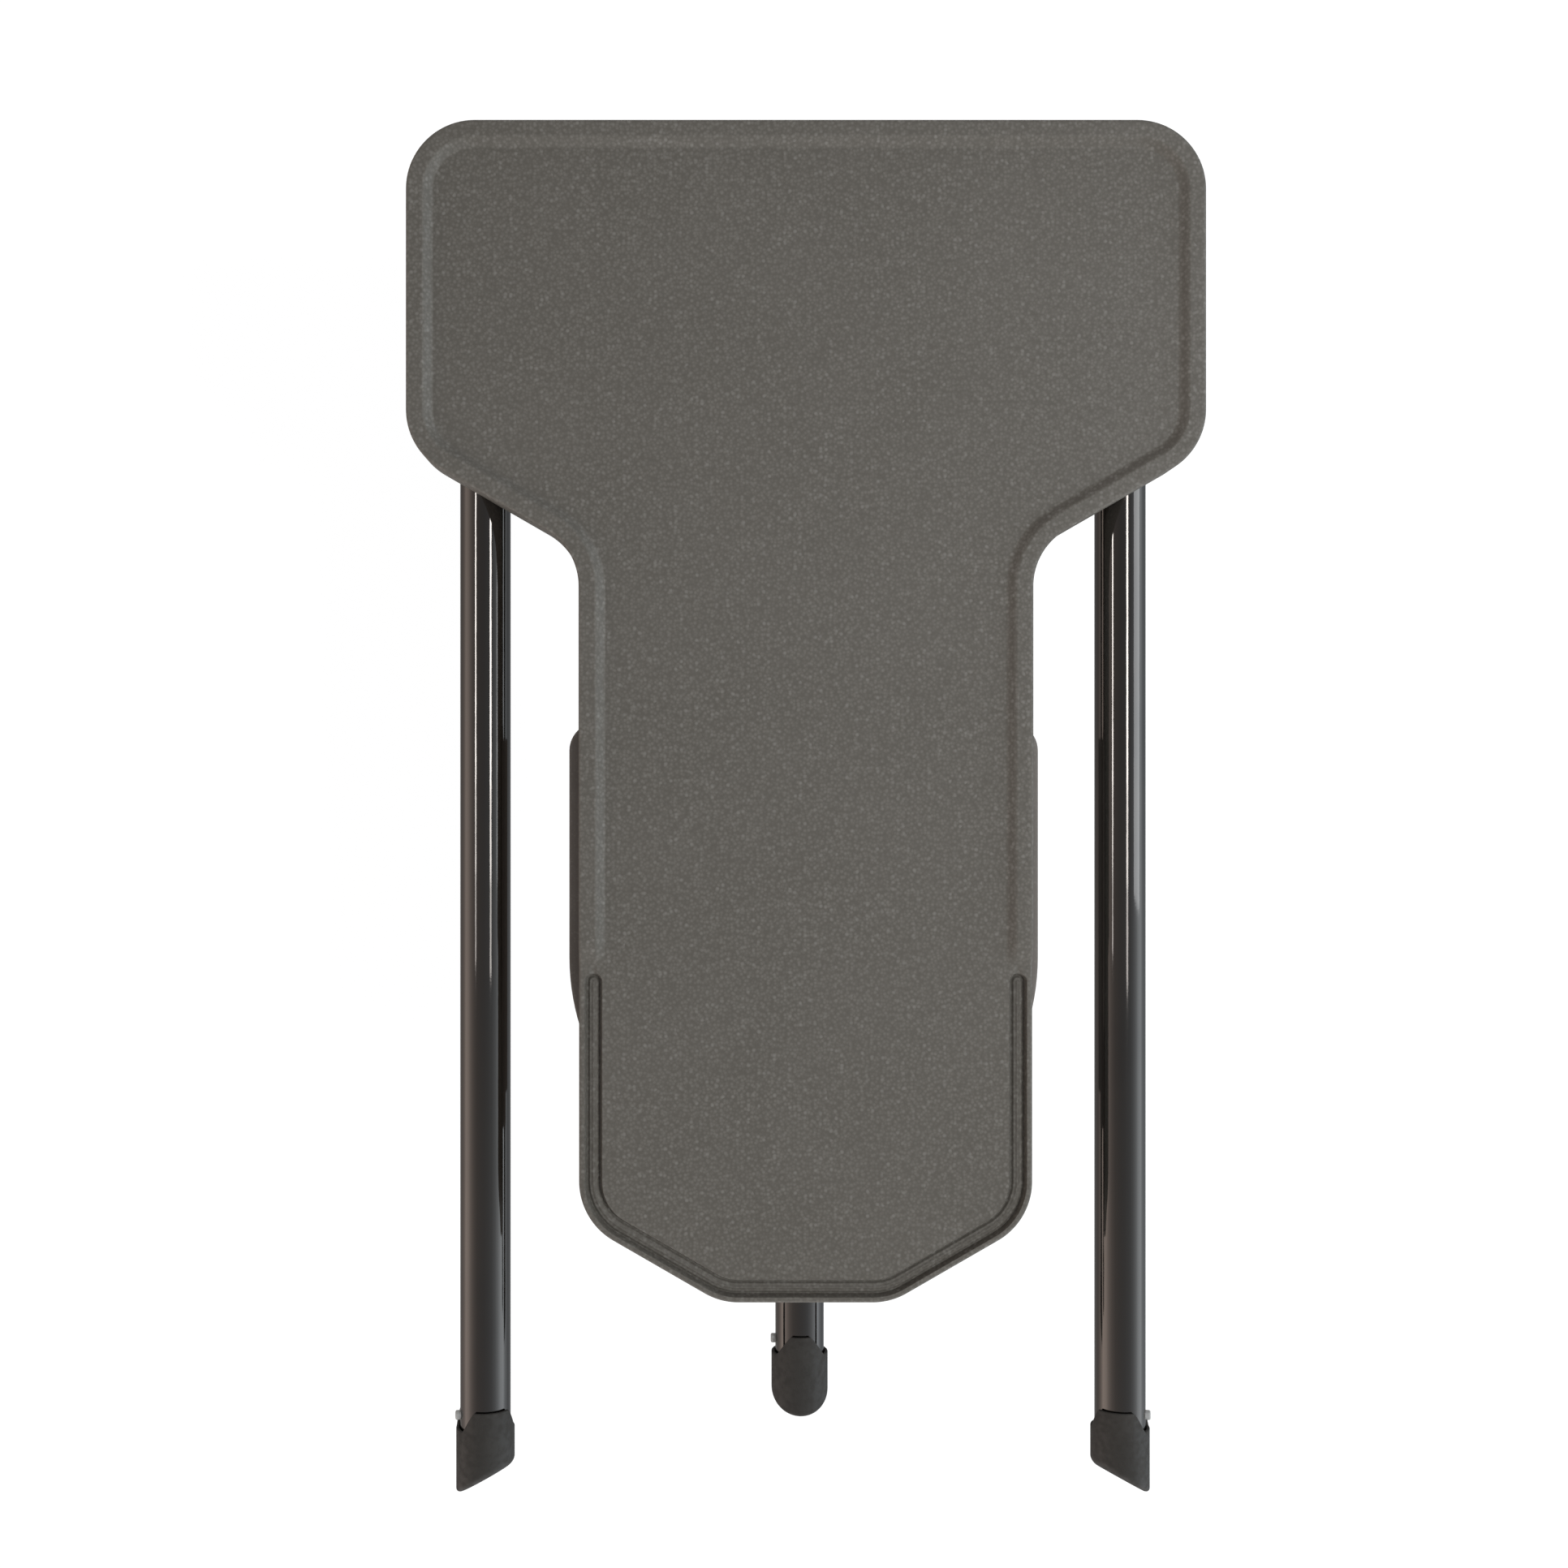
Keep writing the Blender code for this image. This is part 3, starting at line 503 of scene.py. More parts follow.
def black_rubber():
    finish = Finish("black_rubber", (0.029, 0.026, 0.022), 0.62)
    bloom = finish.ranged(finish.noise(70, 4.0, (1, 0.5, 1)), 0.4, 0.75, 0, 1)
    finish.drive("Base Color", finish.blended(bloom, (0.0245, 0.0218, 0.0185), (0.031, 0.0276, 0.0237)))
    finish.drive("Roughness", finish.ranged(finish.noise(300, 2.0), 0.3, 0.7, 0.55, 0.75))
    finish.drive("Normal", finish.bump(finish.noise(700), 0.3, 0.00015))
    return finish.material


def pale_plastic():
    finish = Finish("pale_plastic", (0.42, 0.42, 0.41), 0.45)
    tint = finish.ranged(finish.noise(240, 3.0), 0.35, 0.7, 0, 1)
    finish.drive("Base Color", finish.blended(tint, (0.45, 0.45, 0.44), (0.36, 0.355, 0.34)))
    finish.drive("Roughness", finish.ranged(finish.noise(500), 0.3, 0.7, 0.38, 0.52))
    finish.drive("Normal", finish.bump(finish.noise(1100), 0.2, 0.0001))
    return finish.material


SEAT_PLASTIC = seat_plastic()
PLASTIC_LIGHTENED_FOR_SHADE = dark_plastic()
COATED_STEEL = coated_steel()
KNUCKLE_PLASTIC = knuckle_plastic()
DARK_CHROME = dark_chrome()
BRIGHT_STEEL = bright_steel()
BLACK_RUBBER = black_rubber()
PALE_PLASTIC = pale_plastic()


# Seat


def seat_corners():
    """(x, y, radius) of the T's corners, anticlockwise from the nose."""
    head_front = from_rear(HEAD_SIDE)
    stem_rear = head_front - (HEAD_HALF_WIDTH - STEM_HALF_WIDTH) * math.tan(SLOPE)
    nose_tip = from_rear(SEAT_LENGTH)
    nose_rear = nose_tip + (STEM_HALF_WIDTH - NOSE_HALF_WIDTH) * math.tan(SLOPE)
    right = [
        (NOSE_HALF_WIDTH, nose_tip, OUTER_CORNER),
        (STEM_HALF_WIDTH, nose_rear, OUTER_CORNER),
        (STEM_HALF_WIDTH, stem_rear, INNER_CORNER),
        (HEAD_HALF_WIDTH, head_front, OUTER_CORNER),
        (HEAD_HALF_WIDTH, SEAT_REAR, OUTER_CORNER),
    ]
    return right + [(-x, y, radius) for x, y, radius in reversed(right)]


def rounded(corners, steps):
    """[(point, outward normal), ...] round an anticlockwise outline with its corners as arcs."""
    outline = []
    for index, (x, y, radius) in enumerate(corners):
        corner = Vector((x, y))
        arriving = (corner - Vector(corners[index - 1][:2])).normalized()
        leaving = (Vector(corners[(index + 1) % len(corners)][:2]) - corner).normalized()
        turn = math.atan2(arriving.cross(leaving), arriving.dot(leaving))
        side = math.copysign(1, turn)
        first = corner - arriving * radius * math.tan(abs(turn) / 2)
        normal = Vector((arriving.y, -arriving.x))
        centre = first - normal * radius * side
        for step in range(steps + 1):
            spoke = Matrix.Rotation(turn * step / steps, 2) @ normal
            outline.append((centre + spoke * radius * side, spoke))
    return outline


def with_stops(outline, stops):
    """Add a point wherever one of the outline's fore-and-aft edges passes one of these Ys."""
    result = []
    for index, (point, normal) in enumerate(outline):
        result.append((point, normal))
        after = outline[(index + 1) % len(outline)][0]
        if abs(after.x - point.x) > 1e-6:
            continue
        low, high = sorted((point.y, after.y))
        inside = sorted((y for y in stops if low < y < high), reverse=after.y < point.y)
        result += [(Vector((point.x, y)), normal) for y in inside]
    return result


def seat_depth(inset, y):
    """How far the seat's surface lies below its top, this far in from its edge."""
    faded = smooth((from_rear(LIP_FADE[0]) - y) / (LIP_FADE[1] - LIP_FADE[0]))
    fallen = smooth((inset - LIP_SLOPE[0]) / (LIP_SLOPE[1] - LIP_SLOPE[0]))
    depth = LIP_HEIGHT * (1 - (1 - faded) * (1 - fallen))
    across = inset - GROOVE_MIDDLE
    short = max(y - from_rear(GROOVE_START), 0)
    away = math.hypot(across, short)
    wall = min(max((GROOVE_HALF_WIDTH - away) / GROOVE_WALL, 0), 1)
    groove = 0.7 * wall + 0.3 * smooth(wall)  # nearly straight, with slightly eased ends
    bead = smooth(1 - abs(across) / BEAD_HALF_WIDTH) * smooth(1 - short / BEAD_FADE)
    step = smooth((GROOVE_FLOOR[0] - away) / (GROOVE_FLOOR[0] - GROOVE_FLOOR[1]))
    return depth + GROOVE_DEPTH * groove - GROOVE_STEP * step - GROOVE_BEAD * bead


def seat_insets():
    """(inset, extra depth) of the rings over the seat's edge, from the skirt in to the tray's floor."""
    edge = arc((EDGE_ROUND, 0), EDGE_ROUND, 180, 90, 6)
    rings = [(inset, EDGE_ROUND - height) for inset, height in edge]
    groove_in = GROOVE_MIDDLE - GROOVE_HALF_WIDTH
    span = LIP_SLOPE[1] + 0.0002 - groove_in
    rings += [(groove_in + span * step / GROOVE_RINGS, 0) for step in range(GROOVE_RINGS + 1)]
    rings += [(inset, 0) for inset in TRAY_RINGS]
    return rings


def seat_stops():
    """Ys of the extra points along the stem, where the lip fades and the groove begins."""
    places = [LIP_FADE[0] + (LIP_FADE[1] - LIP_FADE[0]) * step / 12 for step in range(13)]
    places += [GROOVE_START - GROOVE_HALF_WIDTH + 0.0004 * step for step in range(1, 13)]
    return sorted(from_rear(place) for place in places)


def seat_underside():
    """(inset, depth) of the rings from under the plate, down inside the skirt and round its lower edge."""
    plate = LIP_HEIGHT + PLATE
    ease, bulge = SKIRT_EASE
    rings = [(SKIRT_WALL + 0.004, plate), (SKIRT_WALL + 0.001, plate)]
    rings += [(SKIRT_WALL + 0.0003, plate + 0.0003), (SKIRT_WALL, plate + 0.001)]
    rings += [(SKIRT_WALL, SKIRT_DEPTH - ease), (SKIRT_WALL - bulge, SKIRT_DEPTH - bulge)]
    rings += [(SKIRT_WALL - ease, SKIRT_DEPTH), (ease, SKIRT_DEPTH)]
    rings += [(bulge, SKIRT_DEPTH - bulge), (0, SKIRT_DEPTH - ease)]
    return rings


def build_seat_moulding():
    """The seat's plate, skirt, lip and groove as one skin, from under the plate round to its top."""
    outline = with_stops(rounded(seat_corners(), 22), seat_stops())
    rings = []
    for inset, depth in seat_underside():
        height = Vector((0, 0, SEAT_TOP - depth))
        rings.append([(point - normal * inset).to_3d() + height for point, normal in outline])
    for inset, extra in seat_insets():
        points = []
        for point, normal in outline:
            place = point - normal * inset
            points.append(Vector((place.x, place.y, SEAT_TOP - extra - seat_depth(inset, point.y))))
        rings.append(points)
    shape = bmesh.new()
    loft(shape, rings)
    piece = add_object("seat_moulding", shape, SEAT_PLASTIC, 40)
    return stand_for(piece, "seat_shell")


def pad_centres():
    """Where the three bracket pads are under the seat."""
    centres = []
    for leg in LEGS:
        rise = SEAT_TOP - PAD_DEPTH - BASE_THICKNESS / 2 - leg.hinge.z
        centres.append((leg.hinge.x + rise * math.tan(leg.tilt), leg.hinge.y + BASE_FORWARD))
    return centres


def clear_stretches(start, end, at, along):
    """The stretches of a rib between the pads it meets; along is 0 for ribs in X and 1 for Y."""
    stretches = [(start, end)]
    for centre in pad_centres():
        if abs(centre[1 - along] - at) > PAD_REACH[1 - along]:
            continue
        low, high = centre[along] - PAD_REACH[along], centre[along] + PAD_REACH[along]
        kept = []
        for first, last in stretches:
            kept += [(first, min(last, low)), (max(first, high), last)]
        stretches = [(first, last) for first, last in kept if last - first > 0.002]
    return stretches


def build_seat_ribs():
    """The grid of ribs under the seat, stopping at the bracket pads."""
    shape = bmesh.new()
    low = SEAT_TOP - SKIRT_DEPTH + 0.0004
    high = UNDERSIDE + SUNK
    half = RIB / 2
    wall = SKIRT_WALL / 2
    for x, short in RIBS_ALONG:
        front = from_rear(SEAT_LENGTH) + wall + short
        rear = from_rear(wall if x else CENTRE_RIB_REAR)
        for side in sorted({x, -x}):
            for start, end in clear_stretches(front, rear, side, 1):
                soft_box(shape, (side - half, start, low), (side + half, end, high), RIB_ROUND, 2)
    ribs_across = [(HEAD_RIB, HEAD_HALF_WIDTH - wall)]
    ribs_across += [(place, STEM_HALF_WIDTH - wall) for place in STEM_RIBS]
    for place, reach in ribs_across:
        y = from_rear(place)
        for start, end in clear_stretches(-reach, reach, y, 0):
            soft_box(shape, (start, y - half, low), (end, y + half, high), RIB_ROUND, 2)
    piece = add_object("seat_ribs", shape, SEAT_PLASTIC)
    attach(piece, "seat")


def build_seat_pads():
    """Flat pads for the brackets, and bosses for the cradle's screws."""
    shape = bmesh.new()
    high = UNDERSIDE + SUNK
    for x, y in pad_centres():
        low_corner = (x - PAD_REACH[0], y - PAD_REACH[1], SEAT_TOP - PAD_DEPTH)
        soft_box(shape, low_corner, (x + PAD_REACH[0], y + PAD_REACH[1], high), 0.0006)
    foot = CRADLE_HIGH.z + GAP
    for x, y in cradle_screw_places():
        profile = [(BOSS_RADIUS - 0.0005, foot), (BOSS_RADIUS, foot + 0.0005)]
        profile += [(BOSS_RADIUS, high - BOSS_FLARE[1]), (BOSS_RADIUS + BOSS_FLARE[0], high)]
        turned(shape, profile, Matrix.Translation((x, y, 0)), 48)
    piece = add_object("seat_pads", shape, SEAT_PLASTIC)
    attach(piece, "seat")


# Leg cradle


def cradle_screw_places():
    return [(side * x, from_rear(y)) for x, y in CRADLE_SCREWS for side in (-1, 1)]


def cradle_outline(inset):
    """A D: straight at the rear with small corners, and a half circle at the front."""
    rear = from_rear(CRADLE_REAR)
    corner_x = CRADLE_HIGH.x - CRADLE_CORNER
    corner_y = rear - CRADLE_CORNER
    corner = CRADLE_CORNER - inset
    outline = arc((0, rear - CRADLE_STRAIGHT), CRADLE_HIGH.x - inset, 180, 360, 72)
    outline += arc((corner_x, corner_y), corner, 0, 90, 12)
    outline += arc((-corner_x, corner_y), corner, 90, 180, 12)
    return outline


def web(shape, x, towards, y, top):
    """A triangular web in the corner between a runner's face and the plate above it."""
    half = WEB / 2
    corners = ((0, SUNK), (WEB_REACH, SUNK), (WEB_REACH, -0.001))
    corners += ((0.001, -WEB_DROP), (0, -WEB_DROP))
    section = [(x + towards * across, top + height) for across, height in corners]
    loft(shape, [[Vector((i, y + step, k)) for i, k in section] for step in (-half, half)])


def build_cradle():
    """The plate, its four runners and the webs between them, where the two pairs face each other."""
    top = CRADLE_HIGH.z
    bottom = top - CRADLE_PLATE
    shape = bmesh.new()
    edge = arc((0, 0), CRADLE_ROUND, 0, 90, 4)
    section = [(0.004, bottom)]
    section += [(CRADLE_ROUND - x, bottom + CRADLE_ROUND - z) for x, z in reversed(edge)]
    section += [(CRADLE_ROUND - x, top - CRADLE_ROUND + z) for x, z in edge]
    section += [(0.004, top)]
    loft(shape, [[Vector((x, y, z)) for x, y in cradle_outline(inset)] for inset, z in section])
    half = RUNNER / 2
    for x, (start, end), facing in zip(RUNNER_X, RUNNER_Y, (1, -1)):
        for side in (-1, 1):
            low = (side * x - half, from_rear(end), CRADLE_LOW.z)
            high = (side * x + half, from_rear(start), top - CRADLE_PLATE / 2)
            soft_box(shape, low, high, RUNNER_ROUND, 4)
            for y in WEB_Y:
                face = side * (x + facing * (half - 0.0005))
                web(shape, face, side * facing, from_rear(y), bottom)
    bmesh.ops.recalc_face_normals(shape, faces=shape.faces)
    # The cradle takes the plastic painted lighter to make up for the shade it sits in.
    piece = add_object("cradle_moulding", shape, PLASTIC_LIGHTENED_FOR_SHADE)
    stand_for(piece, "leg_cradle")


# Fasteners


def screw_mesh(length):
    """A pan-head screw with a cross recess, seen from below, with its head under the origin."""
    shape = bmesh.new()
    centre = (SCREW_HEAD_RADIUS - SCREW_HEAD_ROUND, SCREW_HEAD_ROUND - SCREW_HEAD_HEIGHT)
    profile = [(0.0006, -SCREW_HEAD_HEIGHT)] + arc(centre, SCREW_HEAD_ROUND, -90, 0, 8)
    profile += [(SCREW_HEAD_RADIUS, 0), (SCREW_RADIUS, 0)]
    profile += [(SCREW_RADIUS, length - SCREW_POINT), (0.0008, length)]
    turned(shape, profile, segments=48)
    piece = add_object("screw", shape, BRIGHT_STEEL)
    square = ((-1, -1), (1, -1), (1, 1), (-1, 1))
    ends = []
    for half_length, half_width, height in (RECESS_MOUTH, RECESS_FLOOR):
        ends.append([Vector((half_length * x, half_width * y, height)) for x, y in square])
    for turn in (0, 90):
        arm = bmesh.new()
        loft(arm, ends, Matrix.Rotation(math.radians(turn), 4, "Z"))
        cut(piece, arm)
    mesh = piece.data
    bpy.data.objects.remove(piece)
    return mesh


def place_screws(names, mesh, places):
    for name, place in zip(names, places):
        piece = bpy.data.objects.new(f"{name}_finished", mesh)
        bpy.context.scene.collection.objects.link(piece)
        piece.location = place
        stand_for(piece, name)


def build_screws():
    cradle = screw_mesh(LONG_SCREW)
    z = CRADLE_HIGH.z - CRADLE_PLATE - GAP
    names = [f"cradle_screw_{number}" for number in (1, 2, 3, 4)]
    place_screws(names, cradle, [(x, y, z) for x, y in cradle_screw_places()])
    short = screw_mesh(SHORT_SCREW)
    z = SEAT_TOP - PAD_DEPTH - BASE_THICKNESS - 2 * GAP
    for leg, (x, y) in zip(LEGS, pad_centres()):
        names = [f"{leg.name}_bracket_screw_{number}" for number in (1, 2, 3, 4)]
        corners = [(i, j) for j in (-1, 1) for i in (-1, 1)]
        place_screws(names, short, [(x + i * SCREW_X, y + j * SCREW_Y, z) for i, j in corners])


# Legs


class Leg:
    """Where one leg's hinge is, how far it turns and how its foot is cut."""

    def __init__(self, name, outer, length, foot):
        joint = JOINTS[f"{name}_leg_fold"]
        axis = Vector(joint["axis"])
        self.name = name
        self.outer = outer
        self.hinge = Vector(joint["pos_m"])
        self.tilt = math.atan2(-axis.z, axis.x)
        self.opening = math.radians(joint["range_deg"][1])
        self.length = length
        self.foot = foot
        self.turn = Matrix.Rotation(self.tilt, 3, "Y")
        self.place = Matrix.Translation(self.hinge) @ self.turn.to_4x4()

    def azimuth(self, degrees):
        """Angle about the leg's own axis, from its hinge axis, of a direction given from straight up."""
        angle = math.radians(degrees)
        spoke = self.turn.inverted() @ Vector((self.outer * math.sin(angle), 0, math.cos(angle)))
        return math.atan2(spoke.z, spoke.x)

    def sole_slope(self):
        """How the sole's distance along the leg grows across the tube, per metre of X and of Y."""
        open_normal = self.turn.inverted() @ Vector((0, 0, -1))
        normal = Matrix.Rotation(-self.opening, 3, "X") @ open_normal
        return Vector((normal.x, normal.z)) / normal.y

    def tube_end(self):
        return self.length - FOOT_RADIUS * self.sole_slope().length - FOOT_FILLET


LEGS = (
    Leg("left", -1, SIDE_LENGTH, SIDE_FOOT),
    Leg("right", 1, SIDE_LENGTH, SIDE_FOOT),
    Leg("front", -1, FRONT_LENGTH, FRONT_FOOT),
)


def build_tube(leg):
    """The open tube between the knuckle and the foot."""
    end = leg.tube_end()
    face = TUBE_RADIUS - TUBE_EASE
    profile = [(TUBE_RADIUS, TUBE_START + TUBE_EASE), (TUBE_RADIUS, end - TUBE_EASE), (face, end)]
    profile += [(TUBE_BORE, end), (TUBE_BORE, TUBE_START), (face, TUBE_START)]
    shape = bmesh.new()
    turned(shape, profile, leg.place @ ALONG_LEG, 96, closed=True)
    piece = add_object(f"{leg.name}_leg_tube_finished", shape, DARK_CHROME)
    stand_for(piece, f"{leg.name}_leg_tube")


def build_rivet(leg):
    """The rivet through tube and knuckle, with a low round head at each end."""
    shape = bmesh.new()
    head = TUBE_RADIUS + GAP
    half = [(RIVET_RADIUS, head), (RIVET_HEAD_RADIUS, head), (0.0028, head + 0.0008)]
    half += [(0.0018, head + 0.0012), (0.0006, head + 0.0013)]
    profile = [(radius, -height) for radius, height in reversed(half)] + half
    turned(shape, profile, leg.place @ Matrix.Translation((0, -RIVET_AT, 0)), 48)
    piece = add_object(f"{leg.name}_tube_rivet_finished", shape, BRIGHT_STEEL)
    stand_for(piece, f"{leg.name}_tube_rivet")


def pin_place(leg):
    """Turns +Z onto the foot pin's outward direction, at its place along the leg."""
    along = leg.length - leg.foot["top"] + PIN_BELOW_LOBE
    turn = Matrix.Rotation(-leg.azimuth(leg.foot["pin"]), 4, "Y")
    return Matrix.Translation((0, -along, 0)) @ turn @ ALONG_AXIS


def build_foot_pin(leg):
    """The light pin above the foot: a flange inside the tube and a round end outside it."""
    shape = bmesh.new()
    flange, start, end = FOOT_PIN_FLANGE
    shoulder = FOOT_PIN_END - FOOT_PIN_ROUND
    profile = [(flange, start), (flange, end), (FOOT_PIN_RADIUS, end), (FOOT_PIN_RADIUS, shoulder)]
    profile += arc((FOOT_PIN_RADIUS - FOOT_PIN_ROUND, shoulder), FOOT_PIN_ROUND, 0, 90, 5)
    profile += [(0.0005, FOOT_PIN_END)]
    turned(shape, profile, leg.place @ pin_place(leg), 40)
    piece = add_object(f"{leg.name}_foot_pin_finished", shape, PALE_PLASTIC)
    stand_for(piece, f"{leg.name}_foot_pin")


def lobe_edge(leg, angle):
    """Height of the foot's upper edge above its sole's middle, at this angle about the leg."""
    turn = math.degrees(angle - leg.azimuth(leg.foot["lobe"])) % 180
    away = min(turn, 180 - turn)
    span = leg.foot["foot"] - leg.foot["flat"]
    share = min(max((away - leg.foot["flat"]) / span, 0), 1)
    fall = 0.75 * share + 0.25 * smooth(share)
    return leg.foot["top"] - LOBE_HEIGHT * fall


def foot_profile(bottom, edge):
    """The foot's section above its sole: up the bore and over its flattened round rim."""
    half = (FOOT_RADIUS - FOOT_BORE) / 2
    rim = arc((FOOT_RADIUS - half, 0), half, 180, 360, 8)
    flattened = [(radius, edge + 0.6 * (half + along)) for radius, along in rim]
    return [(0.004, bottom), (FOOT_BORE, bottom)] + flattened


def build_foot(leg):
    """A rubber cup on the tube's end, with two raised lobes and a treaded sole that stands level."""
    slope = leg.sole_slope()
    bottom = leg.tube_end() + GAP
    sole = arc((FOOT_RADIUS - FOOT_FILLET, FOOT_FILLET), FOOT_FILLET, 0, -90, 9)
    for radius in TREAD_RADII:
        inner = radius - TREAD_WIDTH
        sole += [(radius, 0), (radius - TREAD_SLANT, TREAD_DEPTH)]
        sole += [(inner + TREAD_SLANT, TREAD_DEPTH), (inner, 0)]
    sole += [(0.002, 0)]
    segments = 144
    sections = []
    for step in range(segments):
        angle = 2 * math.pi * step / segments
        spoke = Vector((math.cos(angle), math.sin(angle)))
        places = foot_profile(bottom, leg.length - lobe_edge(leg, angle))
        places += [(radius, leg.length + radius * spoke.dot(slope) - rise) for radius, rise in sole]
        sections.append([Vector((*(spoke * radius), along)) for radius, along in places])
    shape = bmesh.new()
    loft(shape, list(zip(*sections)), leg.place @ ALONG_LEG)
    piece = add_object(f"{leg.name}_foot_finished", shape, BLACK_RUBBER, 50)
    stand_for(piece, f"{leg.name}_foot")


def pin_turn(leg):
    """Turns +Z onto the way a hinge pin points, with its head on the leg's outer side."""
    return leg.place @ (ALONG_AXIS if leg.outer < 0 else ALONG_AXIS.inverted())


def build_hinge_pin(leg):
    """The pin through both cheeks, with its head at one end and the clip's groove at the other."""
    face = CHEEK_OUTER + GAP
    groove = face + CLIP_THICKNESS + 2 * GAP
    tail = groove + 0.0014
    ease = 0.0004
    shape = bmesh.new()
    head = [(0.001, PIN_HEAD_HEIGHT), (0.0050, PIN_HEAD_HEIGHT), (0.0057, 0.0020)]
    head += [(PIN_HEAD_RADIUS, 0.0013), (PIN_HEAD_RADIUS, 0)]
    profile = [(radius, -face - rise) for radius, rise in head]
    profile += [(PIN_RADIUS, -face), (PIN_RADIUS, face), (PIN_NECK, face), (PIN_NECK, groove)]
    profile += [(PIN_RADIUS, groove), (PIN_RADIUS, tail - ease)]
    profile += [(PIN_RADIUS - ease, tail), (0.001, tail)]
    turned(shape, profile, pin_turn(leg), 56)
    piece = add_object(f"{leg.name}_hinge_pin_finished", shape, BRIGHT_STEEL)
    stand_for(piece, f"{leg.name}_hinge_pin")


def build_pin_clip(leg):
    """An open ring in the groove round the pin's tail."""
    start = CHEEK_OUTER + 2 * GAP
    end = start + CLIP_THICKNESS
    inner, outer = CLIP_RADII
    corners = [(inner, end - CLIP_EASE), (inner + CLIP_EASE, end)]
    corners += [(outer - CLIP_EASE, end), (outer, end - CLIP_EASE)]
    corners += [(outer, start + CLIP_EASE), (outer - CLIP_EASE, start)]
    corners += [(inner + CLIP_EASE, start), (inner, start + CLIP_EASE)]
    sections = []
    steps = 56
    for step in range(steps + 1):
        angle = CLIP_GAP / 2 + (2 * math.pi - CLIP_GAP) * step / steps
        spoke = Vector((math.cos(angle), math.sin(angle), 0))
        sections.append([spoke * radius + Vector((0, 0, z)) for radius, z in corners])
    shape = bmesh.new()
    loft(shape, sections, pin_turn(leg))
    piece = add_object(f"{leg.name}_pin_clip_finished", shape, BRIGHT_STEEL)
    stand_for(piece, f"{leg.name}_pin_clip")


def build_lock_button(leg):
    """The button through the bracket's back wall: tip, stem, and a knob with a dimple in its end."""
    shape = bmesh.new()
    ease = 0.0004
    tip_start, tip_end = TIP
    knob_start, knob_end = KNOB
    profile = [(0.0006, tip_start)]
    profile += arc((TIP_RADIUS - TIP_ROUND, tip_start + TIP_ROUND), TIP_ROUND, -90, 0, 4)
    profile += [(TIP_RADIUS, tip_end), (STEM_RADIUS, tip_end), (STEM_RADIUS, knob_start)]
    profile += [(KNOB_RADIUS - ease, knob_start), (KNOB_RADIUS, knob_start + ease)]
    profile += arc((KNOB_RADIUS - KNOB_ROUND, knob_end - KNOB_ROUND), KNOB_ROUND, 0, 90, 5)
    profile += [(0.0030, knob_end), (0.0022, knob_end - 0.0005), (0.0005, knob_end - 0.0006)]
    turned(shape, profile, leg.place @ REARWARD, 56)
    piece = add_object(f"{leg.name}_lock_button_finished", shape, PALE_PLASTIC)
    stand_for(piece, f"{leg.name}_lock_button")


def build_lock_spring(leg):
    """The wire spring between the bracket and the button's knob."""
    first = BACK_WALL + GAP + SPRING_WIRE
    last = KNOB[0] - GAP - SPRING_WIRE
    total = SPRING_TURNS * SPRING_STEPS
    sections = []
    for step in range(total + 1):
        angle = 2 * math.pi * step / SPRING_STEPS
        spoke = Vector((math.cos(angle), math.sin(angle), 0))
        centre = spoke * SPRING_RADIUS + Vector((0, 0, first + (last - first) * step / total))
        section = []
        for corner in range(WIRE_SIDES):
            around = 2 * math.pi * corner / WIRE_SIDES
            outward = spoke * math.cos(around) - Vector((0, 0, math.sin(around)))
            section.append(centre + outward * SPRING_WIRE)
        sections.append(section)
    shape = bmesh.new()
    loft(shape, sections, leg.place @ REARWARD)
    piece = add_object(f"{leg.name}_lock_spring_finished", shape, BRIGHT_STEEL, 60)
    stand_for(piece, f"{leg.name}_lock_spring")
    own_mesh(piece)


def build_leg(leg):
    """One leg with its bracket, hinge and lock."""
    refined(f"{leg.name}_bracket", COATED_STEEL, 0.0006)
    refined(f"{leg.name}_knuckle", KNUCKLE_PLASTIC, 0.0006)
    build_hinge_pin(leg)
    build_pin_clip(leg)
    build_lock_button(leg)
    build_lock_spring(leg)
    build_tube(leg)
    build_rivet(leg)
    build_foot_pin(leg)
    build_foot(leg)


# Studio


def floor_finish():
    """A pale floor with a glow of its own, clear when seen from underneath."""
    finish = Finish("floor", (FLOOR_WHITE,) * 3, 0.9)
    finish.set("Specular IOR Level", 0.0)
    finish.set("Emission Color", (1.0, 1.0, 1.0, 1.0))
    finish.set("Emission Strength", FLOOR_GLOW)
    nodes = finish.tree.nodes
    side = nodes.new("ShaderNodeNewGeometry")
    clear = nodes.new("ShaderNodeBsdfTransparent")
    mix = nodes.new("ShaderNodeMixShader")
    finish.tree.links.new(side.outputs["Backfacing"], mix.inputs[0])
    finish.tree.links.new(finish.shader.outputs["BSDF"], mix.inputs[1])
    finish.tree.links.new(clear.outputs["BSDF"], mix.inputs[2])
    finish.tree.links.new(mix.outputs["Shader"], nodes["Material Output"].inputs["Surface"])
    return finish.material


def build_floor():
    """The floor lies where the open stool's feet stand."""
    shape = bmesh.new()
    bmesh.ops.create_grid(shape, x_segments=8, y_segments=8, size=FLOOR_SIZE / 2)
    floor = add_object("floor", shape, floor_finish())
    floor.visible_glossy = False
    side = LEGS[0]
    drop = side.length * math.cos(side.opening - math.pi / 2) * math.cos(side.tilt)
    floor.location.z = side.hinge.z - drop - 0.0005


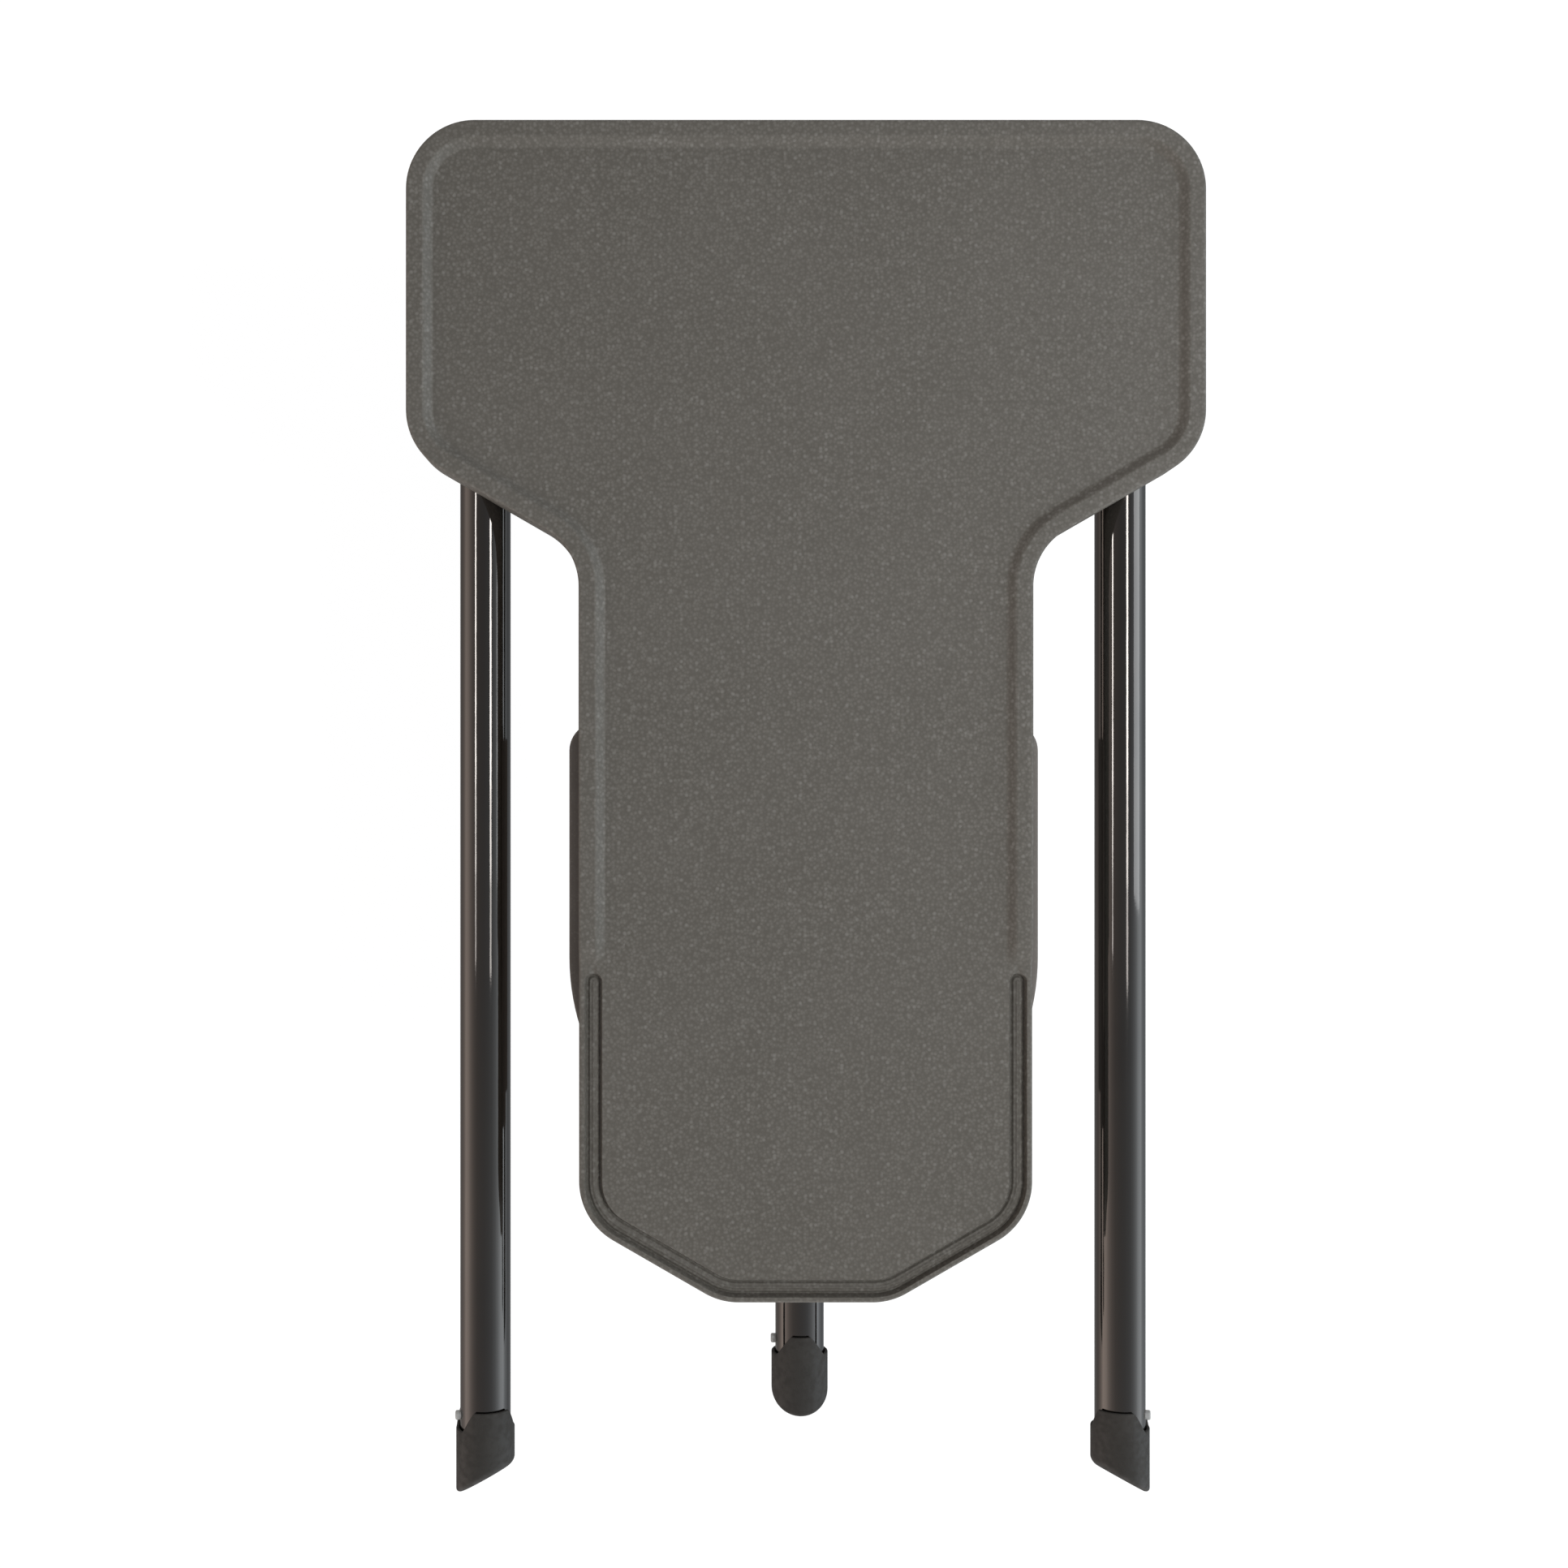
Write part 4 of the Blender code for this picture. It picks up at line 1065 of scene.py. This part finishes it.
def area_light(name, place, size, power, target, colour=(1, 1, 1)):
    data = bpy.data.lights.new(name, "AREA")
    data.shape = "RECTANGLE"
    data.size, data.size_y = size
    data.energy = power
    data.color = colour
    lamp = bpy.data.objects.new(name, data)
    bpy.context.scene.collection.objects.link(lamp)
    lamp.location = place
    lamp.rotation_euler = (Vector(target) - Vector(place)).to_track_quat("-Z", "Y").to_euler()
    lamp.visible_camera = False
    return lamp


def build_lights():
    """A soft key from the right, strips whose lines run down the tubes, and a cool panel."""
    key = area_light("key", KEY_PLACE, (KEY_SIZE, KEY_SIZE), KEY_POWER, (0, 0, 0.05), KEY_COLOUR)
    key.visible_glossy = False
    for index, (x, width) in enumerate(STRIPS):
        for step, start in enumerate(STRIP_STARTS):
            middle = (start + STRIP_END) / 2
            size = (STRIP_END - start, width)
            power = math.pi * STRIP_RADIANCE / len(STRIP_STARTS) * size[0] * size[1]
            place = (x, middle, STRIP_HEIGHT + 0.001 * step)
            aim = (0, middle, TUBE_HEIGHT)
            lamp = area_light(f"strip_{index + 1}_{step + 1}", place, size, power, aim)
            lamp.visible_diffuse = False
    aim = (0, PANEL_PLACE[1], PANEL_PLACE[2])
    panel = area_light("panel", PANEL_PLACE, PANEL_SIZE, PANEL_POWER, aim, PANEL_COLOUR)
    panel.visible_diffuse = False


def colour_ramp(tree, source, stops):
    """The source from 0 to 1, turned into colours given as (place, red, green, blue)."""
    node = tree.nodes.new("ShaderNodeValToRGB")
    tree.links.new(source, node.inputs["Fac"])
    elements = node.color_ramp.elements
    for index, (place, *colour) in enumerate(stops):
        element = elements[index] if index < 2 else elements.new(place)
        element.position = place
        element.color = (*colour, 1)
    return node.outputs["Color"]


def build_world():
    """Dark above and below, so that round metal shows a dark middle, and bright round the sides."""
    world = bpy.data.worlds.new("studio")
    world.use_nodes = True
    bpy.context.scene.world = world
    tree = world.node_tree
    background = tree.nodes["Background"]
    place = tree.nodes.new("ShaderNodeTexCoord")
    split = tree.nodes.new("ShaderNodeSeparateXYZ")
    tree.links.new(place.outputs["Generated"], split.inputs["Vector"])
    rise = map_range(tree, split.outputs["Z"], -1, 1, 0, 1)
    across = map_range(tree, split.outputs["X"], -1, 1, 0, 1)
    tint = tree.nodes.new("ShaderNodeMix")
    tint.data_type = "RGBA"
    tint.blend_type = "MULTIPLY"
    tint.inputs["Factor"].default_value = 1.0
    sides = [socket for socket in tint.inputs if socket.type == "RGBA"]
    greys = [(place, value, value, value) for place, value in SKY]
    tree.links.new(colour_ramp(tree, rise, greys), sides[0])
    tree.links.new(colour_ramp(tree, across, ((0, *SKY_LEFT), (1, *SKY_RIGHT))), sides[1])
    tree.links.new(next(s for s in tint.outputs if s.type == "RGBA"), background.inputs["Color"])
    strength = map_range(tree, split.outputs["Y"], -0.6, 0.6, SKY_FRONT, SKY_REAR)
    tree.links.new(strength, background.inputs["Strength"])


def build_camera():
    data = bpy.data.cameras.new("camera")
    data.lens = CAMERA_LENS
    data.sensor_width = 36.0
    data.shift_x = CAMERA_SHIFT
    camera = bpy.data.objects.new("camera", data)
    bpy.context.scene.collection.objects.link(camera)
    camera.location = CAMERA_PLACE
    bpy.context.scene.camera = camera


build_seat_moulding()
build_seat_ribs()
build_seat_pads()
build_cradle()
build_screws()
for each_leg in LEGS:
    build_leg(each_leg)
build_floor()
build_lights()
build_world()
build_camera()
bpy.context.scene.view_settings.view_transform = "Standard"
